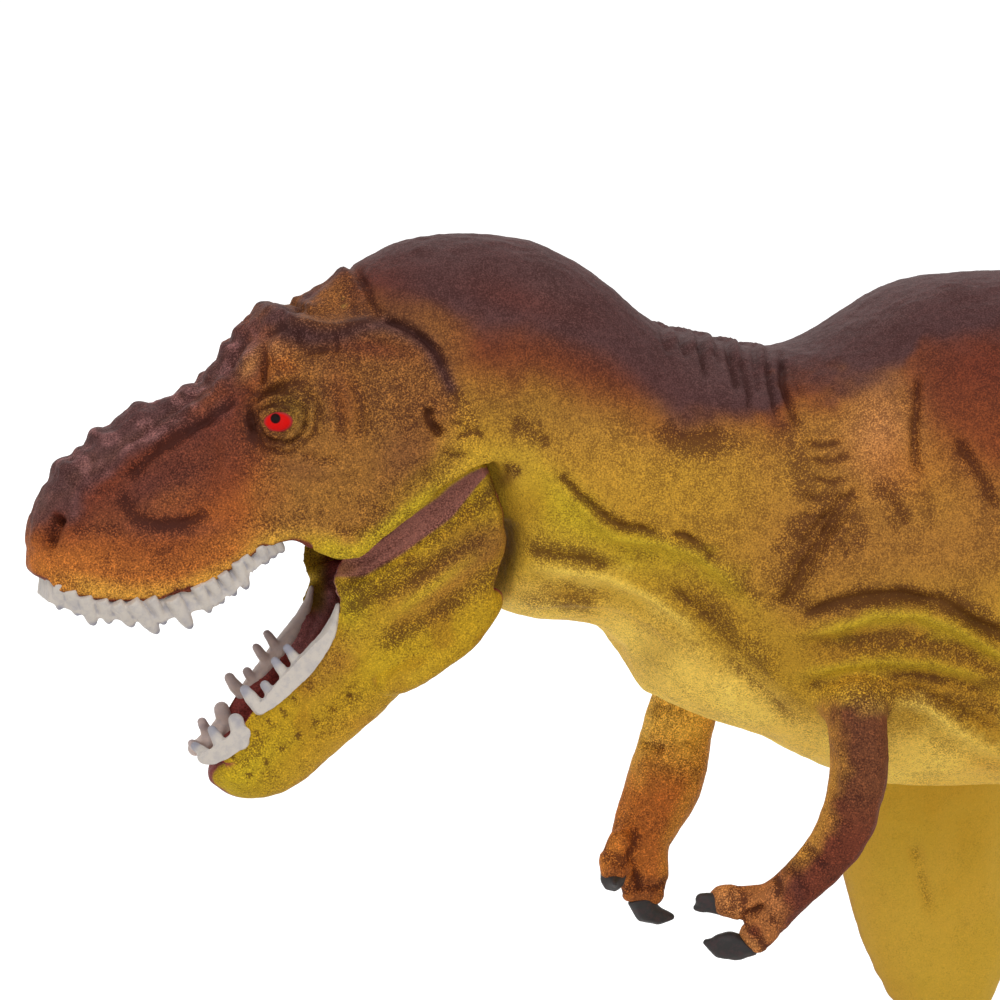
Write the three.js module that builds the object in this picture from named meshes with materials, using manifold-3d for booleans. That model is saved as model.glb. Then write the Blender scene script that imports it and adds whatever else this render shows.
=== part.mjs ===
// A toy tyrannosaur: a hand-painted soft plastic figure that stands on its two feet, mouth wide open.
// The neck and trunk are a hollow shell in a left and a right half. The skull, tail, arms and legs are
// glued to it on pegs, and the lower jaw turns on a steel pin that runs through the throat.
// Millimetres, +Z up, nose towards -X, left side towards -Y. The origin is on the floor, in the middle.

import * as THREE from "three";
import { mergeVertices } from "three/addons/utils/BufferGeometryUtils.js";
import Module from "manifold-3d";

const wasm = await Module();
wasm.setup();

// Driving dimensions
const figureLength = 297; // nose to tip of the tail
const skullLength = 60.5; // nose to the back of the skull
const trunkLength = 126; // back of the skull to the root of the tail
const napeHeight = 145.5; // floor to the top of the nape, the highest point
const skullDepth = 42; // top of the nape down to the lip
const trunkDepth = 82; // top of the nape down to the belly
const skullWidth = 36;
const trunkWidth = 52;
const tailRootWidth = 31.6;
const tailRootBelowNape = 18;
const tailRootDepth = 43.5;
const tailSwing = 9; // how far the tail swings out to the left

// Walls, gaps and seams
const shellWall = 3;
const lipWall = 1.4; // cheek and lip outside the mouth cavity
const seamGap = 0.3; // glue line between two pieces
const overrun = 4; // how far a cutting solid runs past what it cuts

// Jaw and its hinge
const hingeAheadOfNeck = 5; // from the back of the skull
const hingeBelowNape = 31;
const jawLength = 54; // hinge to chin
const jawDepth = 21; // top edge down to the bottom of the ramus
const cheekGap = 0.99; // between an ear and the inside of the cheek
const jawWall = 2.2;
const jawFloorWall = 3.2;
const jawDroop = 53.4; // degrees below level in the open rest position
const earRadius = 6.2;
const throatRadius = 12.6;
const throatToHollow = 21; // hinge to the start of the neck's hollow
const pinRadius = 1.5;
const pinGap = 0.25; // round the pin, in its bores
const pinEndInset = 0.5; // pin end below the outside of the ear
const earGap = 0.4; // between an ear and the throat
const jawStopGap = 0.8; // between the back edge of the jaw and the neck
const earTopGap = 1.4; // between an ear and the top of the mouth cavity

// Teeth and tongue
const toothBandThickness = 1.4;
const toothRadius = 1.15;
const toothFlatShare = 0.6; // a tooth's thickness across the row, of its width along it
const toothTaperShares = [1, 0.85, 0.2]; // of toothRadius at the root, halfway and at the tip
const toothSeatGap = 0.35;
const upperBandAbove = 2.6; // up inside the lip
const upperBandBelow = 2.1; // showing below the lip
const upperToothLength = 4.6;
const upperRowLength = 30; // nose to the last upper tooth
const lowerBandHeight = 2.3;
const lowerToothLength = 3.1;
const lowerRowStart = 26; // hinge to the last lower tooth
const tongueToChin = 8.5;
const tongueWidth = 9.5;
const tongueHeight = 4.4;
const tonguePower = 3; // squareness of its underside
const tongueStart = 22.5; // hinge to the root of the tongue

// Eyes
const eyeRadius = 2.5;
const eyeFromNose = 33.1;
const eyeBelowNape = 24.6;
const eyeSunk = 1.7; // centre of the eye below the skin

// Pegs and bosses
const armPegRadius = 2.2;
const armPegLength = 6;
const legPegRadius = 6;
const legPegLength = 8;
const pegGap = 0.3; // round and behind a peg
const clawSeatGap = 0.3;
const tailPlugLength = 10;
const neckPegRadius = 4;
const neckPegLength = 7;
const neckPegFloor = 3.4; // between the mouth cavity and the peg
const bossRadius = 3.4; // locating bosses inside the trunk
const locatorRadius = 1.4;
const locatorLength = 4;

// Feet
const soleHeight = 0; // the soles lie on the floor
const toeSpread = 28; // degrees between two toes

// Roundness of the sections: 2 is an ellipse
const roundPower = 2.2;

// Fineness of the surfaces
const bodySides = 24;
const tailSides = 16;
const headStep = 4;
const leastStep = 0.4;
const trunkStep = 6.3;
const tailStep = 7.56;
const hollowSides = 16;
const hollowStep = 11;
const limbSides = 11;
const legSides = 13;
const fingerSides = 9;
const eyeRings = 9;
const roundSides = 20;
const clawSides = 7;
const toothSides = 4;

const noseX = -figureLength / 2;
const occiputX = noseX + skullLength;
const tailRootX = occiputX + trunkLength;
const tailLength = figureLength - skullLength - trunkLength;
const hingeX = occiputX - hingeAheadOfNeck;
const hingeHeight = napeHeight - hingeBelowNape;
const tailRootTop = napeHeight - tailRootBelowNape;
const tongueLength = jawLength - tongueStart - tongueToChin;

// Limbs and bosses keep to the trunk: x runs back from the hips, and a height of 1 is at the nape and of 0
// at the reach below it.
const hipAlongShare = 0.6984; // of trunkLength
const reachBelowNapeShare = 1.7744; // of trunkDepth
const hipDownShare = 0.2484; // top of the legs, down trunkDepth
const hipX = occiputX + hipAlongShare * trunkLength;
const hipHeight = napeHeight - hipDownShare * trunkDepth;
const besideTrunk = (up) => napeHeight - (1 - up) * reachBelowNapeShare * trunkDepth;

// Head: [along skullLength, top, lip, half width of skullWidth, widest], heights down skullDepth
const headStationShares = [
  [0, 0.94, 1.06, 0.05, 1.0],
  [0.015, 0.868, 1.095, 0.115, 0.99],
  [0.045, 0.8, 1.112, 0.165, 0.985],
  [0.09, 0.737, 1.13, 0.205, 0.975],
  [0.16, 0.65, 1.155, 0.245, 0.96],
  [0.25, 0.57, 1.163, 0.282, 0.94],
  [0.35, 0.53, 1.145, 0.308, 0.91],
  [0.43, 0.448, 1.085, 0.333, 0.86],
  [0.51, 0.318, 1.002, 0.364, 0.83],
  [0.57, 0.262, 0.985, 0.392, 0.81],
  [0.63, 0.24, 1.005, 0.42, 0.805],
  [0.69, 0.188, 1.03, 0.44, 0.8],
  [0.76, 0.11, 0.98, 0.462, 0.77],
  [0.84, 0.045, 0.885, 0.483, 0.73],
  [0.92, 0.01, 0.8, 0.494, 0.7],
  [1, 0, 0.735, 0.489, 0.68],
];
// Neck and trunk: [along trunkLength, top, underside, half width of trunkWidth, widest], heights down trunkDepth
const trunkStationShares = [
  [0, 0, 0.62, 0.338, 0.348],
  [0.077, 0.012, 0.67, 0.346, 0.348],
  [0.143, 0.057, 0.68, 0.35, 0.38],
  [0.175, 0.095, 0.69, 0.353, 0.4],
  [0.21, 0.143, 0.765, 0.362, 0.44],
  [0.234, 0.17, 0.82, 0.375, 0.46],
  [0.302, 0.197, 0.87, 0.405, 0.52],
  [0.371, 0.218, 0.905, 0.442, 0.56],
  [0.422, 0.195, 0.95, 0.467, 0.565],
  [0.5, 0.118, 0.99, 0.492, 0.567],
  [0.571, 0.091, 1.0, 0.5, 0.567],
  [0.659, 0.091, 1.0, 0.492, 0.55],
  [0.762, 0.11, 0.97, 0.462, 0.53],
  [0.857, 0.146, 0.896, 0.404, 0.51],
];
// Tail: [along tailLength, top and underside down tailRootDepth, half of tailRootWidth, of tailSwing]
const tailStationShares = [
  [0, 0, 1, 0.5, 0],
  [0.1, 0.055, 0.9, 0.43, 0.08],
  [0.25, 0.14, 0.78, 0.34, 0.4],
  [0.4, 0.2, 0.69, 0.26, 0.8],
  [0.55, 0.24, 0.61, 0.196, 1],
  [0.7, 0.24, 0.53, 0.142, 0.95],
  [0.85, 0.2, 0.42, 0.097, 0.6],
  [0.95, 0.15, 0.31, 0.065, 0.25],
  [0.99, 0.14, 0.24, 0.035, 0.05],
  [1, 0.165, 0.205, 0.012, 0],
];
// Seam between skull and neck, from the nape to the cheek: [along skullLength, down skullDepth]
const seamShares = [
  [0.727, -0.107],
  [0.742, 0.114],
  [0.787, 0.24],
  [0.818, 0.255],
  [0.899, 0.336],
  [0.931, 0.448],
  [0.977, 0.564],
  [1.012, 0.729],
];
// Roof of the mouth cavity: [along skullLength, down skullDepth] from the snout to the back of the cheek
const palateShares = [
  [0.06, 1.05],
  [0.13, 0.99],
  [0.25, 0.94],
  [0.37, 0.87],
  [0.48, 0.8],
  [0.6, 0.72],
  [0.71, 0.66],
];
// Lower jaw: [along jawLength, top and bottom of jawDepth, half width of jawWidth, power of the bottom]
const jawStationShares = [
  [-0.11, 0.02, -0.02, 0.5, 6],
  [-0.07, 0.19, -0.287, 0.5, 6],
  [0, 0.295, -0.595, 0.5, 6],
  [0.065, 0.295, -0.748, 0.5, 6],
  [0.155, 0.27, -0.86, 0.48, 5],
  [0.235, 0.25, -0.95, 0.455, 4.5],
  [0.33, 0.22, -0.95, 0.42, 4],
  [0.4, 0.14, -0.87, 0.385, 3.5],
  [0.45, -0.04, -0.83, 0.33, 3],
  [0.56, -0.12, -0.76, 0.283, 2.8],
  [0.75, -0.1, -0.636, 0.234, 2.6],
  [0.85, -0.09, -0.575, 0.205, 2.6],
  [0.93, -0.07, -0.49, 0.16, 2.6],
  [0.98, -0.08, -0.38, 0.105, 2.6],
  [1, -0.13, -0.27, 0.06, 2.6],
];
// Back edge of the jaw, which the neck's skin follows: [along jawLength, up jawDepth]
const jawBackShares = [
  [-0.07, -0.287],
  [-0.002, -0.595],
  [0.065, -0.748],
  [0.155, -0.86],
  [0.235, -0.95],
  [0.29, -1.3],
];
// Teeth of one side, from the front: [along the row, length]
const upperToothShares = [
  [0.06, 0.5],
  [0.13, 0.62],
  [0.2, 0.8],
  [0.27, 0.72],
  [0.35, 0.85],
  [0.43, 1],
  [0.5, 0.7],
  [0.58, 0.95],
  [0.67, 0.62],
  [0.74, 0.5],
  [0.81, 0.55],
  [0.88, 0.75],
  [0.95, 0.55],
];
const lowerToothShares = [
  [0.07, 0.7],
  [0.19, 0.85],
  [0.31, 1],
  [0.43, 0.95],
  [0.55, 1],
  [0.67, 0.85],
  [0.79, 0.75],
  [0.91, 0.6],
];

// Limb stations: [x behind the hips of trunkLength, out of trunkWidth, height, fore-and-aft and sideways
// radius of trunkWidth]. Arms take their heights as above, and a leg's first row is at the top of the legs.
const leftArmShares = [
  [-0.284, 0.39, 0.56, 0.1, 0.1],
  [-0.287, 0.468, 0.522, 0.084, 0.084],
  [-0.293, 0.49, 0.471, 0.08, 0.08],
  [-0.306, 0.496, 0.436, 0.078, 0.076],
  [-0.334, 0.487, 0.402, 0.07, 0.068],
  [-0.368, 0.474, 0.375, 0.062, 0.062],
  [-0.393, 0.463, 0.359, 0.056, 0.06],
];
const rightArmShares = [
  [-0.3, 0.36, 0.585, 0.1, 0.1],
  [-0.352, 0.43, 0.55, 0.092, 0.09],
  [-0.382, 0.45, 0.498, 0.09, 0.088],
  [-0.398, 0.452, 0.44, 0.095, 0.088],
  [-0.418, 0.448, 0.386, 0.094, 0.084],
  [-0.432, 0.442, 0.352, 0.082, 0.078],
];
const leftFingerShares = [
  [
    [-0.378, 0.463, 0.364, 0.048, 0.048],
    [-0.408, 0.452, 0.366, 0.042, 0.042],
    [-0.431, 0.442, 0.364, 0.042, 0.042],
  ],
  [
    [-0.382, 0.465, 0.358, 0.052, 0.052],
    [-0.398, 0.462, 0.338, 0.048, 0.048],
    [-0.41, 0.454, 0.327, 0.044, 0.044],
  ],
];
const leftClawShares = [
  [
    [-0.431, 0.442, 0.364, 0.035, 0.035],
    [-0.453, 0.436, 0.366, 0.026, 0.026],
    [-0.472, 0.43, 0.361, 0.006, 0.006],
  ],
  [
    [-0.41, 0.454, 0.327, 0.038, 0.038],
    [-0.437, 0.444, 0.321, 0.031, 0.031],
    [-0.46, 0.433, 0.329, 0.006, 0.006],
  ],
];
const rightFingerShares = [
  [
    [-0.434, 0.43, 0.361, 0.06, 0.058],
    [-0.456, 0.41, 0.351, 0.056, 0.054],
    [-0.465, 0.386, 0.341, 0.048, 0.046],
  ],
  [
    [-0.43, 0.442, 0.338, 0.064, 0.058],
    [-0.43, 0.436, 0.316, 0.052, 0.05],
    [-0.428, 0.43, 0.306, 0.046, 0.046],
  ],
];
const rightClawShares = [
  [
    [-0.465, 0.386, 0.341, 0.04, 0.04],
    [-0.471, 0.35, 0.331, 0.033, 0.033],
    [-0.474, 0.308, 0.332, 0.006, 0.006],
  ],
  [
    [-0.428, 0.43, 0.306, 0.04, 0.04],
    [-0.415, 0.425, 0.288, 0.032, 0.032],
    [-0.388, 0.42, 0.285, 0.006, 0.006],
  ],
];
const leftLegShares = [
  [0.03, 0.3, 0.86, 0.2, 0.08],
  [0.022, 0.355, 0.81, 0.36, 0.14],
  [0.012, 0.4, 0.735, 0.4, 0.165],
  [0.008, 0.425, 0.62, 0.345, 0.172],
  [0.004, 0.42, 0.5, 0.26, 0.165],
  [0.01, 0.405, 0.4, 0.215, 0.155],
  [0.04, 0.39, 0.29, 0.175, 0.14],
  [0.078, 0.375, 0.19, 0.14, 0.115],
  [0.084, 0.37, 0.15, 0.13, 0.11],
  [0.035, 0.368, 0.085, 0.115, 0.115],
  [-0.02, 0.367, 0.035, 0.11, 0.13],
];
const rightLegShares = [
  [0.03, 0.3, 0.86, 0.2, 0.08],
  [0.018, 0.355, 0.81, 0.36, 0.14],
  [0.0, 0.4, 0.735, 0.4, 0.165],
  [-0.025, 0.425, 0.62, 0.345, 0.172],
  [-0.07, 0.42, 0.5, 0.27, 0.165],
  [-0.104, 0.405, 0.4, 0.24, 0.155],
  [-0.096, 0.39, 0.29, 0.195, 0.14],
  [-0.064, 0.375, 0.19, 0.145, 0.115],
  [-0.056, 0.37, 0.15, 0.13, 0.11],
  [-0.1, 0.368, 0.085, 0.115, 0.115],
  [-0.15, 0.367, 0.035, 0.11, 0.13],
];
// One toe and its claw, from the ball of the foot: [ahead of trunkLength, up trunkWidth, radius of trunkWidth]
const toeShares = [
  [0, 0.084, 0.1],
  [0.07, 0.078, 0.088],
  [0.13, 0.067, 0.072],
  [0.152, 0.06, 0.06],
];
const toeClawShares = [
  [0.152, 0.063, 0.05],
  [0.182, 0.056, 0.038],
  [0.214, 0.025, 0.008],
];
const ballShare = -0.03; // x of the left ball of the foot behind the hips, of trunkLength
const strideShare = 0.12; // how much further forward the right foot stands
const footOutShare = 0.367;
// Locating bosses and the hole of the leg's peg: [x behind the hips of trunkLength, height]
const bossShares = [
  [-0.44, 0.72],
  [-0.06, 0.88],
  [-0.12, 0.5],
];
const legPegShares = [0.016, 0.715];

// Turns a three.js geometry into a solid, facing out.
function toSolid(geometry) {
  const bare = geometry.clone();
  bare.deleteAttribute("normal");
  bare.deleteAttribute("uv");
  const merged = mergeVertices(bare, 1e-4);
  const vertProperties = new Float32Array(merged.attributes.position.array);
  const triVerts = new Uint32Array(merged.index.array);
  const solid = new wasm.Manifold(new wasm.Mesh({ numProp: 3, vertProperties, triVerts }));
  if (solid.volume() > 0) return solid;
  for (let i = 0; i < triVerts.length; i += 3) {
    [triVerts[i + 1], triVerts[i + 2]] = [triVerts[i + 2], triVerts[i + 1]];
  }
  return new wasm.Manifold(new wasm.Mesh({ numProp: 3, vertProperties, triVerts }));
}

function toGeometry(solid) {
  const mesh = solid.getMesh();
  const positions = new Float32Array(mesh.numVert * 3);
  for (let i = 0; i < mesh.numVert; i++) {
    positions.set(mesh.vertProperties.subarray(i * mesh.numProp, i * mesh.numProp + 3), i * 3);
  }
  const geometry = new THREE.BufferGeometry();
  geometry.setAttribute("position", new THREE.BufferAttribute(positions, 3));
  geometry.setIndex(new THREE.BufferAttribute(new Uint32Array(mesh.triVerts), 1));
  geometry.computeVertexNormals();
  return geometry;
}

const join = (first, ...rest) => rest.reduce((whole, piece) => whole.add(piece), first);
const cut = (first, ...rest) => rest.reduce((whole, piece) => whole.subtract(piece), first);

function boxSolid(low, high) {
  const size = high.map((value, i) => value - low[i]);
  const geometry = new THREE.BoxGeometry(...size);
  geometry.translate(...low.map((value, i) => value + size[i] / 2));
  return toSolid(geometry);
}

// A round bar along Y, between two values of y.
function barSolid(radius, x, z, fromY, toY) {
  const geometry = new THREE.CylinderGeometry(radius, radius, Math.abs(toY - fromY), roundSides);
  geometry.translate(x, (fromY + toY) / 2, z);
  return toSolid(geometry);
}

// A prism whose outline lies in the XZ plane and which runs along Y.
function prismSolid(outline, fromY, toY) {
  const shape = new THREE.Shape(outline.map(([x, z]) => new THREE.Vector2(x, z)));
  const geometry = new THREE.ExtrudeGeometry(shape, { depth: toY - fromY, bevelEnabled: false });
  geometry.rotateX(Math.PI / 2);
  geometry.translate(0, toY, 0);
  return toSolid(geometry);
}

// A closed skin through rings of points that all have the same count.
function loftSolid(rings) {
  const count = rings[0].length;
  const points = rings.flat();
  const index = [];
  for (let ring = 0; ring + 1 < rings.length; ring++) {
    for (let j = 0; j < count; j++) {
      const a = ring * count + j;
      const b = ring * count + ((j + 1) % count);
      index.push(a, a + count, b, b, a + count, b + count);
    }
  }
  [[rings[0], 0, 1], [rings.at(-1), (rings.length - 1) * count, -1]].forEach(([ring, start, side]) => {
    const centre = ring.reduce((sum, p) => sum.add(p), new THREE.Vector3()).divideScalar(count);
    points.push(centre);
    for (let j = 0; j < count; j++) {
      const a = start + j;
      const b = start + ((j + 1) % count);
      index.push(...(side > 0 ? [a, b, points.length - 1] : [b, a, points.length - 1]));
    }
  });
  const geometry = new THREE.BufferGeometry().setFromPoints(points);
  geometry.setIndex(index);
  return toSolid(geometry);
}

// The row of a station table at x, on smooth curves through the stations that never overshoot them.
function stationAt(stations, x) {
  const last = stations.length - 1;
  if (x <= stations[0][0]) return [x, ...stations[0].slice(1)];
  if (x >= stations[last][0]) return [x, ...stations[last].slice(1)];
  const i = stations.findIndex((row) => row[0] > x) - 1;
  const slope = (k, column) => {
    const rise = (n) => {
      const [here, next] = [stations[n], stations[n + 1]];
      return (next[column] - here[column]) / (next[0] - here[0]);
    };
    if (k === 0) return rise(0);
    if (k === last) return rise(last - 1);
    const before = rise(k - 1);
    const after = rise(k);
    return before * after <= 0 ? 0 : (2 * before * after) / (before + after);
  };
  const width = stations[i + 1][0] - stations[i][0];
  const t = (x - stations[i][0]) / width;
  const blend = (column) => {
    const a = stations[i][column];
    const b = stations[i + 1][column];
    const bend = (1 - t) * slope(i, column) - t * slope(i + 1, column);
    return a + (b - a) * t * t * (3 - 2 * t) + width * t * (1 - t) * bend;
  };
  return [x, ...stations[i].slice(1).map((_, column) => blend(column + 1))];
}

// Evenly spaced values from one end to the other, both included.
function spread(from, to, step) {
  const count = Math.max(1, Math.round(Math.abs(to - from) / step));
  return Array.from({ length: count + 1 }, (_, i) => from + ((to - from) * i) / count);
}

// A rounded section across X: an upper and a lower half that meet at the widest height.
function sectionRing(section, around) {
  const { x, top, bottom, half, widest, middle = 0, upperPower = roundPower, lowerPower = roundPower } = section;
  return Array.from({ length: around }, (_, i) => {
    const angle = (2 * Math.PI * i) / around;
    const [c, s] = [Math.cos(angle), Math.sin(angle)];
    const power = 2 / (s > 0 ? upperPower : lowerPower);
    const y = half * Math.sign(c) * Math.abs(c) ** power;
    const height = (s > 0 ? top - widest : widest - bottom) * Math.sign(s) * Math.abs(s) ** power;
    return new THREE.Vector3(x, middle + y, widest + height);
  });
}

const headStations = headStationShares.map(([along, top, lip, half, widest]) => [
  noseX + along * skullLength,
  napeHeight - top * skullDepth,
  napeHeight - lip * skullDepth,
  half * skullWidth,
  napeHeight - widest * skullDepth,
]);
const trunkStations = [
  ...trunkStationShares.map(([along, top, under, half, widest]) => [
    occiputX + along * trunkLength,
    napeHeight - top * trunkDepth,
    napeHeight - under * trunkDepth,
    half * trunkWidth,
    napeHeight - widest * trunkDepth,
  ]),
  [tailRootX, tailRootTop, tailRootTop - tailRootDepth, tailRootWidth / 2, tailRootTop - tailRootDepth / 2],
];
const bodyStations = [...headStations.slice(0, -1), ...trunkStations];

const headPower = 6; // boxy cheeks
const cavityPower = 8; // almost square

// Section of the head at x, drawn in by inset on every side.
function headSection(x, inset = 0) {
  const [, top, , half, widest] = stationAt(bodyStations, x);
  const lip = stationAt(headStations, x)[2];
  return { x, top: top - inset, bottom: lip + inset, half: half - inset, widest, lowerPower: headPower };
}

// Section of the neck and trunk at x, drawn in by inset on every side.
function trunkSection(x, inset = 0) {
  const [, top, , half, widest] = stationAt(bodyStations, x);
  const under = stationAt(trunkStations, x)[2];
  return { x, top: top - inset, bottom: under + inset, half: half - inset, widest };
}

// Half width of a section at height z.
function sideAt({ top, bottom, half, widest, upperPower = roundPower, lowerPower = roundPower }, z) {
  const power = z > widest ? upperPower : lowerPower;
  const t = Math.min(1, Math.abs(z - widest) / (z > widest ? top - widest : widest - bottom));
  return half * (1 - t ** power) ** (1 / power);
}

const wide = figureLength; // far outside the figure
// The jaw's ears, as far as they reach from the hinge.
const earCorners = jawStationShares.filter(([along]) => along <= 0);
const earReach = Math.max(
  earRadius,
  ...earCorners.map(([along, top]) => Math.hypot(along * jawLength, top * jawDepth)),
);
const cheekRoom = earReach + earTopGap; // top of the mouth cavity above the hinge
const cheekHalf = Math.min(headSection(hingeX).half, headSection(hingeX + earReach).half);
const jawWidth = 2 * (cheekHalf - lipWall - cheekGap); // over the two ears
const onSkull = ([along, down]) => [noseX + along * skullLength, napeHeight - down * skullDepth];
const seam = seamShares.map(onSkull);
const palate = palateShares.map(onSkull);

// The jaw's own axes: u runs from the hinge to the chin, and v from the bottom of the jaw to its teeth.
const droop = THREE.MathUtils.degToRad(jawDroop);
const jawPoint = (u, y, v) =>
  new THREE.Vector3(
    hingeX - u * Math.cos(droop) - v * Math.sin(droop),
    y,
    hingeHeight - u * Math.sin(droop) + v * Math.cos(droop),
  );

// Back edge of the jaw in the XZ plane, moved away from the hinge by the stop's gap.
const jawBack = jawBackShares.map(([along, up]) => {
  const reach = Math.hypot(along * jawLength, up * jawDepth);
  const grown = 1 + jawStopGap / reach;
  const point = jawPoint(along * jawLength * grown, 0, up * jawDepth * grown);
  return [point.x, point.z];
});

// Everything in front of the seam; the neck's own cut goes on down behind the jaw.
const headRegion = prismSolid(
  [[noseX - wide, hingeHeight + wide], [seam[0][0], hingeHeight + wide], ...seam, [seam.at(-1)[0], -wide],
    [noseX - wide, -wide]],
  -wide,
  wide,
);
const neckCut = prismSolid(
  [[noseX - wide, hingeHeight + wide], [seam[0][0], hingeHeight + wide], ...seam, ...jawBack,
    [jawBack.at(-1)[0], -wide], [noseX - wide, -wide]],
  -wide,
  wide,
).translate([seamGap, 0, seamGap]);

const cavityTop = [...palate, [hingeX - earRadius, hingeHeight + cheekRoom],
  [seam.at(-1)[0] + overrun, hingeHeight + cheekRoom]];

function cavitySection(x) {
  const { half, bottom } = headSection(x);
  const roof = stationAt(cavityTop, x)[1];
  const floor = Math.min(bottom, hingeHeight - throatToHollow) - overrun;
  const powers = { upperPower: cavityPower, lowerPower: cavityPower };
  return { x, top: roof, bottom: floor, half: half - lipWall, widest: (roof + floor) / 2, ...powers };
}

function mouthCavity() {
  const xs = spread(palate[0][0], cavityTop.at(-1)[0], headStep);
  return loftSolid(xs.map((x) => sectionRing(cavitySection(x), bodySides)));
}

// Height of the cavity's roof at a distance from the middle, where its corners are already rounding off.
function roofHeight(x, out) {
  const { top, half, widest } = cavitySection(x);
  return widest + (top - widest) * (1 - Math.min(1, out / half) ** cavityPower) ** (1 / cavityPower);
}

const eyeX = noseX + eyeFromNose;
const eyeHeight = napeHeight - eyeBelowNape;
const eyeOut = sideAt(headSection(eyeX), eyeHeight) - eyeSunk;

function ballSolid(radius, x, y, z) {
  const geometry = new THREE.SphereGeometry(radius, limbSides, eyeRings);
  geometry.translate(x, y, z);
  return toSolid(geometry);
}

// A peg that is rooted in the skull and runs back from the seam into the neck.
const neckPegHeight = hingeHeight + cheekRoom + neckPegFloor + neckPegRadius;
const neckSeamX = stationAt(seam.map(([x, z]) => [-z, x]), -neckPegHeight)[1];

function neckPeg(radius, length) {
  const geometry = new THREE.CylinderGeometry(radius, radius, length + overrun, roundSides);
  geometry.rotateZ(Math.PI / 2);
  geometry.translate(neckSeamX + (length - overrun) / 2, 0, neckPegHeight);
  return toSolid(geometry);
}

function skullSolid() {
  const rings = [
    ...headStations.slice(0, 3).map(([x]) => x),
    ...spread(headStations[3][0], seam.at(-1)[0] + overrun, headStep),
  ].map((x) => sectionRing(headSection(x), bodySides));
  const sockets = [-1, 1].map((side) => ballSolid(eyeRadius + seamGap, eyeX, side * eyeOut, eyeHeight));
  const seat = bandSolid(upperRow(), toothSeatGap);
  const skin = cut(loftSolid(rings).intersect(headRegion), mouthCavity(), seat, ...sockets);
  return join(skin, neckPeg(neckPegRadius, neckPegLength + shellWall));
}

const jawStations = jawStationShares.map(([along, top, bottom, half, squareShare]) => [
  along * jawLength,
  top * jawDepth,
  bottom * jawDepth,
  half * jawWidth,
  squareShare,
]);
const jawTopPower = 6; // flat top edge
const jawWidestShare = 0.45; // of the jaw's own height, from the top

// One section of the jaw, in its own axes, placed in the world.
function jawRing(u, top, bottom, half, widest, upperPower, lowerPower) {
  const ring = sectionRing({ x: u, top, bottom, half, widest, upperPower, lowerPower }, bodySides);
  return ring.map((p) => jawPoint(p.x, p.y, p.z));
}

function jawSolid() {
  const back = jawStations[0][0];
  const positions = [...jawStations.map(([u]) => u), ...spread(0, jawLength, headStep)];
  const inOrder = [...new Set(positions)].sort((a, b) => a - b);
  const sorted = inOrder.filter((u, i) => i === 0 || u - inOrder[i - 1] > leastStep);
  const outer = loftSolid(
    sorted.map((u) => {
      const [, top, bottom, half, squareShare] = stationAt(jawStations, u);
      return jawRing(u, top, bottom, half, top - (top - bottom) * jawWidestShare, jawTopPower, squareShare);
    }),
  );
  const channelEnd = jawLength - jawFloorWall;
  const channel = loftSolid(
    spread(back - overrun, channelEnd, headStep).map((u) => {
      const [, , bottom, half] = stationAt(jawStations, u);
      const floor = u < channelStart ? -throatToHollow - overrun : bottom + jawFloorWall;
      const roof = earRadius + overrun;
      const inside = Math.max(half - jawWall, jawWall / 2);
      return jawRing(u, roof, floor, inside, (roof + floor) / 2, cavityPower, cavityPower);
    }),
  );
  const reach = jawWidth;
  const bore = barSolid(pinRadius + pinGap, hingeX, hingeHeight, -reach, reach);
  return cut(outer, channel, bore);
}
const channelStart = throatRadius + earGap; // the jaw has no floor behind this
const throatHalf = stationAt(jawStations, channelStart)[3] - jawWall - earGap;

// The block between the jaw's ears that carries the hinge pin and closes the throat.
function throatSolid() {
  const plug = barSolid(throatRadius, hingeX, hingeHeight, -throatHalf, throatHalf);
  const xs = spread(cavityTop[0][0], cavityTop.at(-1)[0], headStep);
  const under = xs.map((x) => [x, roofHeight(x, throatHalf)]);
  const above = [[xs.at(-1), hingeHeight + wide], [noseX, hingeHeight + wide], [noseX, under[0][1]]];
  const roof = prismSolid([...under, ...above], -wide, wide).translate([0, 0, -earGap]);
  return cut(plug, roof);
}

function trunkOuter(inset) {
  const xs = [...spread(seam[0][0] - overrun, trunkStations[2][0], trunkStep),
    ...trunkStations.slice(3, 6).map(([x]) => x), ...spread(trunkStations[6][0], tailRootX, trunkStep)];
  return loftSolid(xs.map((x) => sectionRing(trunkSection(x, inset), bodySides)));
}

// Room inside the shell; a deeper inset gives what slides into it.
function trunkHollow(inset = shellWall) {
  const xs = spread(hingeX + throatToHollow, tailRootX + overrun, hollowStep);
  return loftSolid(xs.map((x) => sectionRing(trunkSection(x, inset), hollowSides)));
}

const [legPegX, legPegHeight] = [hipX + legPegShares[0] * trunkLength, besideTrunk(legPegShares[1])];
const trunkEnvelope = trunkOuter(-seamGap); // grown by the glue line, to trim the limbs
const armPegX = hipX + leftArmShares[0][0] * trunkLength;
const armPegHeight = besideTrunk(leftArmShares[0][2]);

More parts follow.
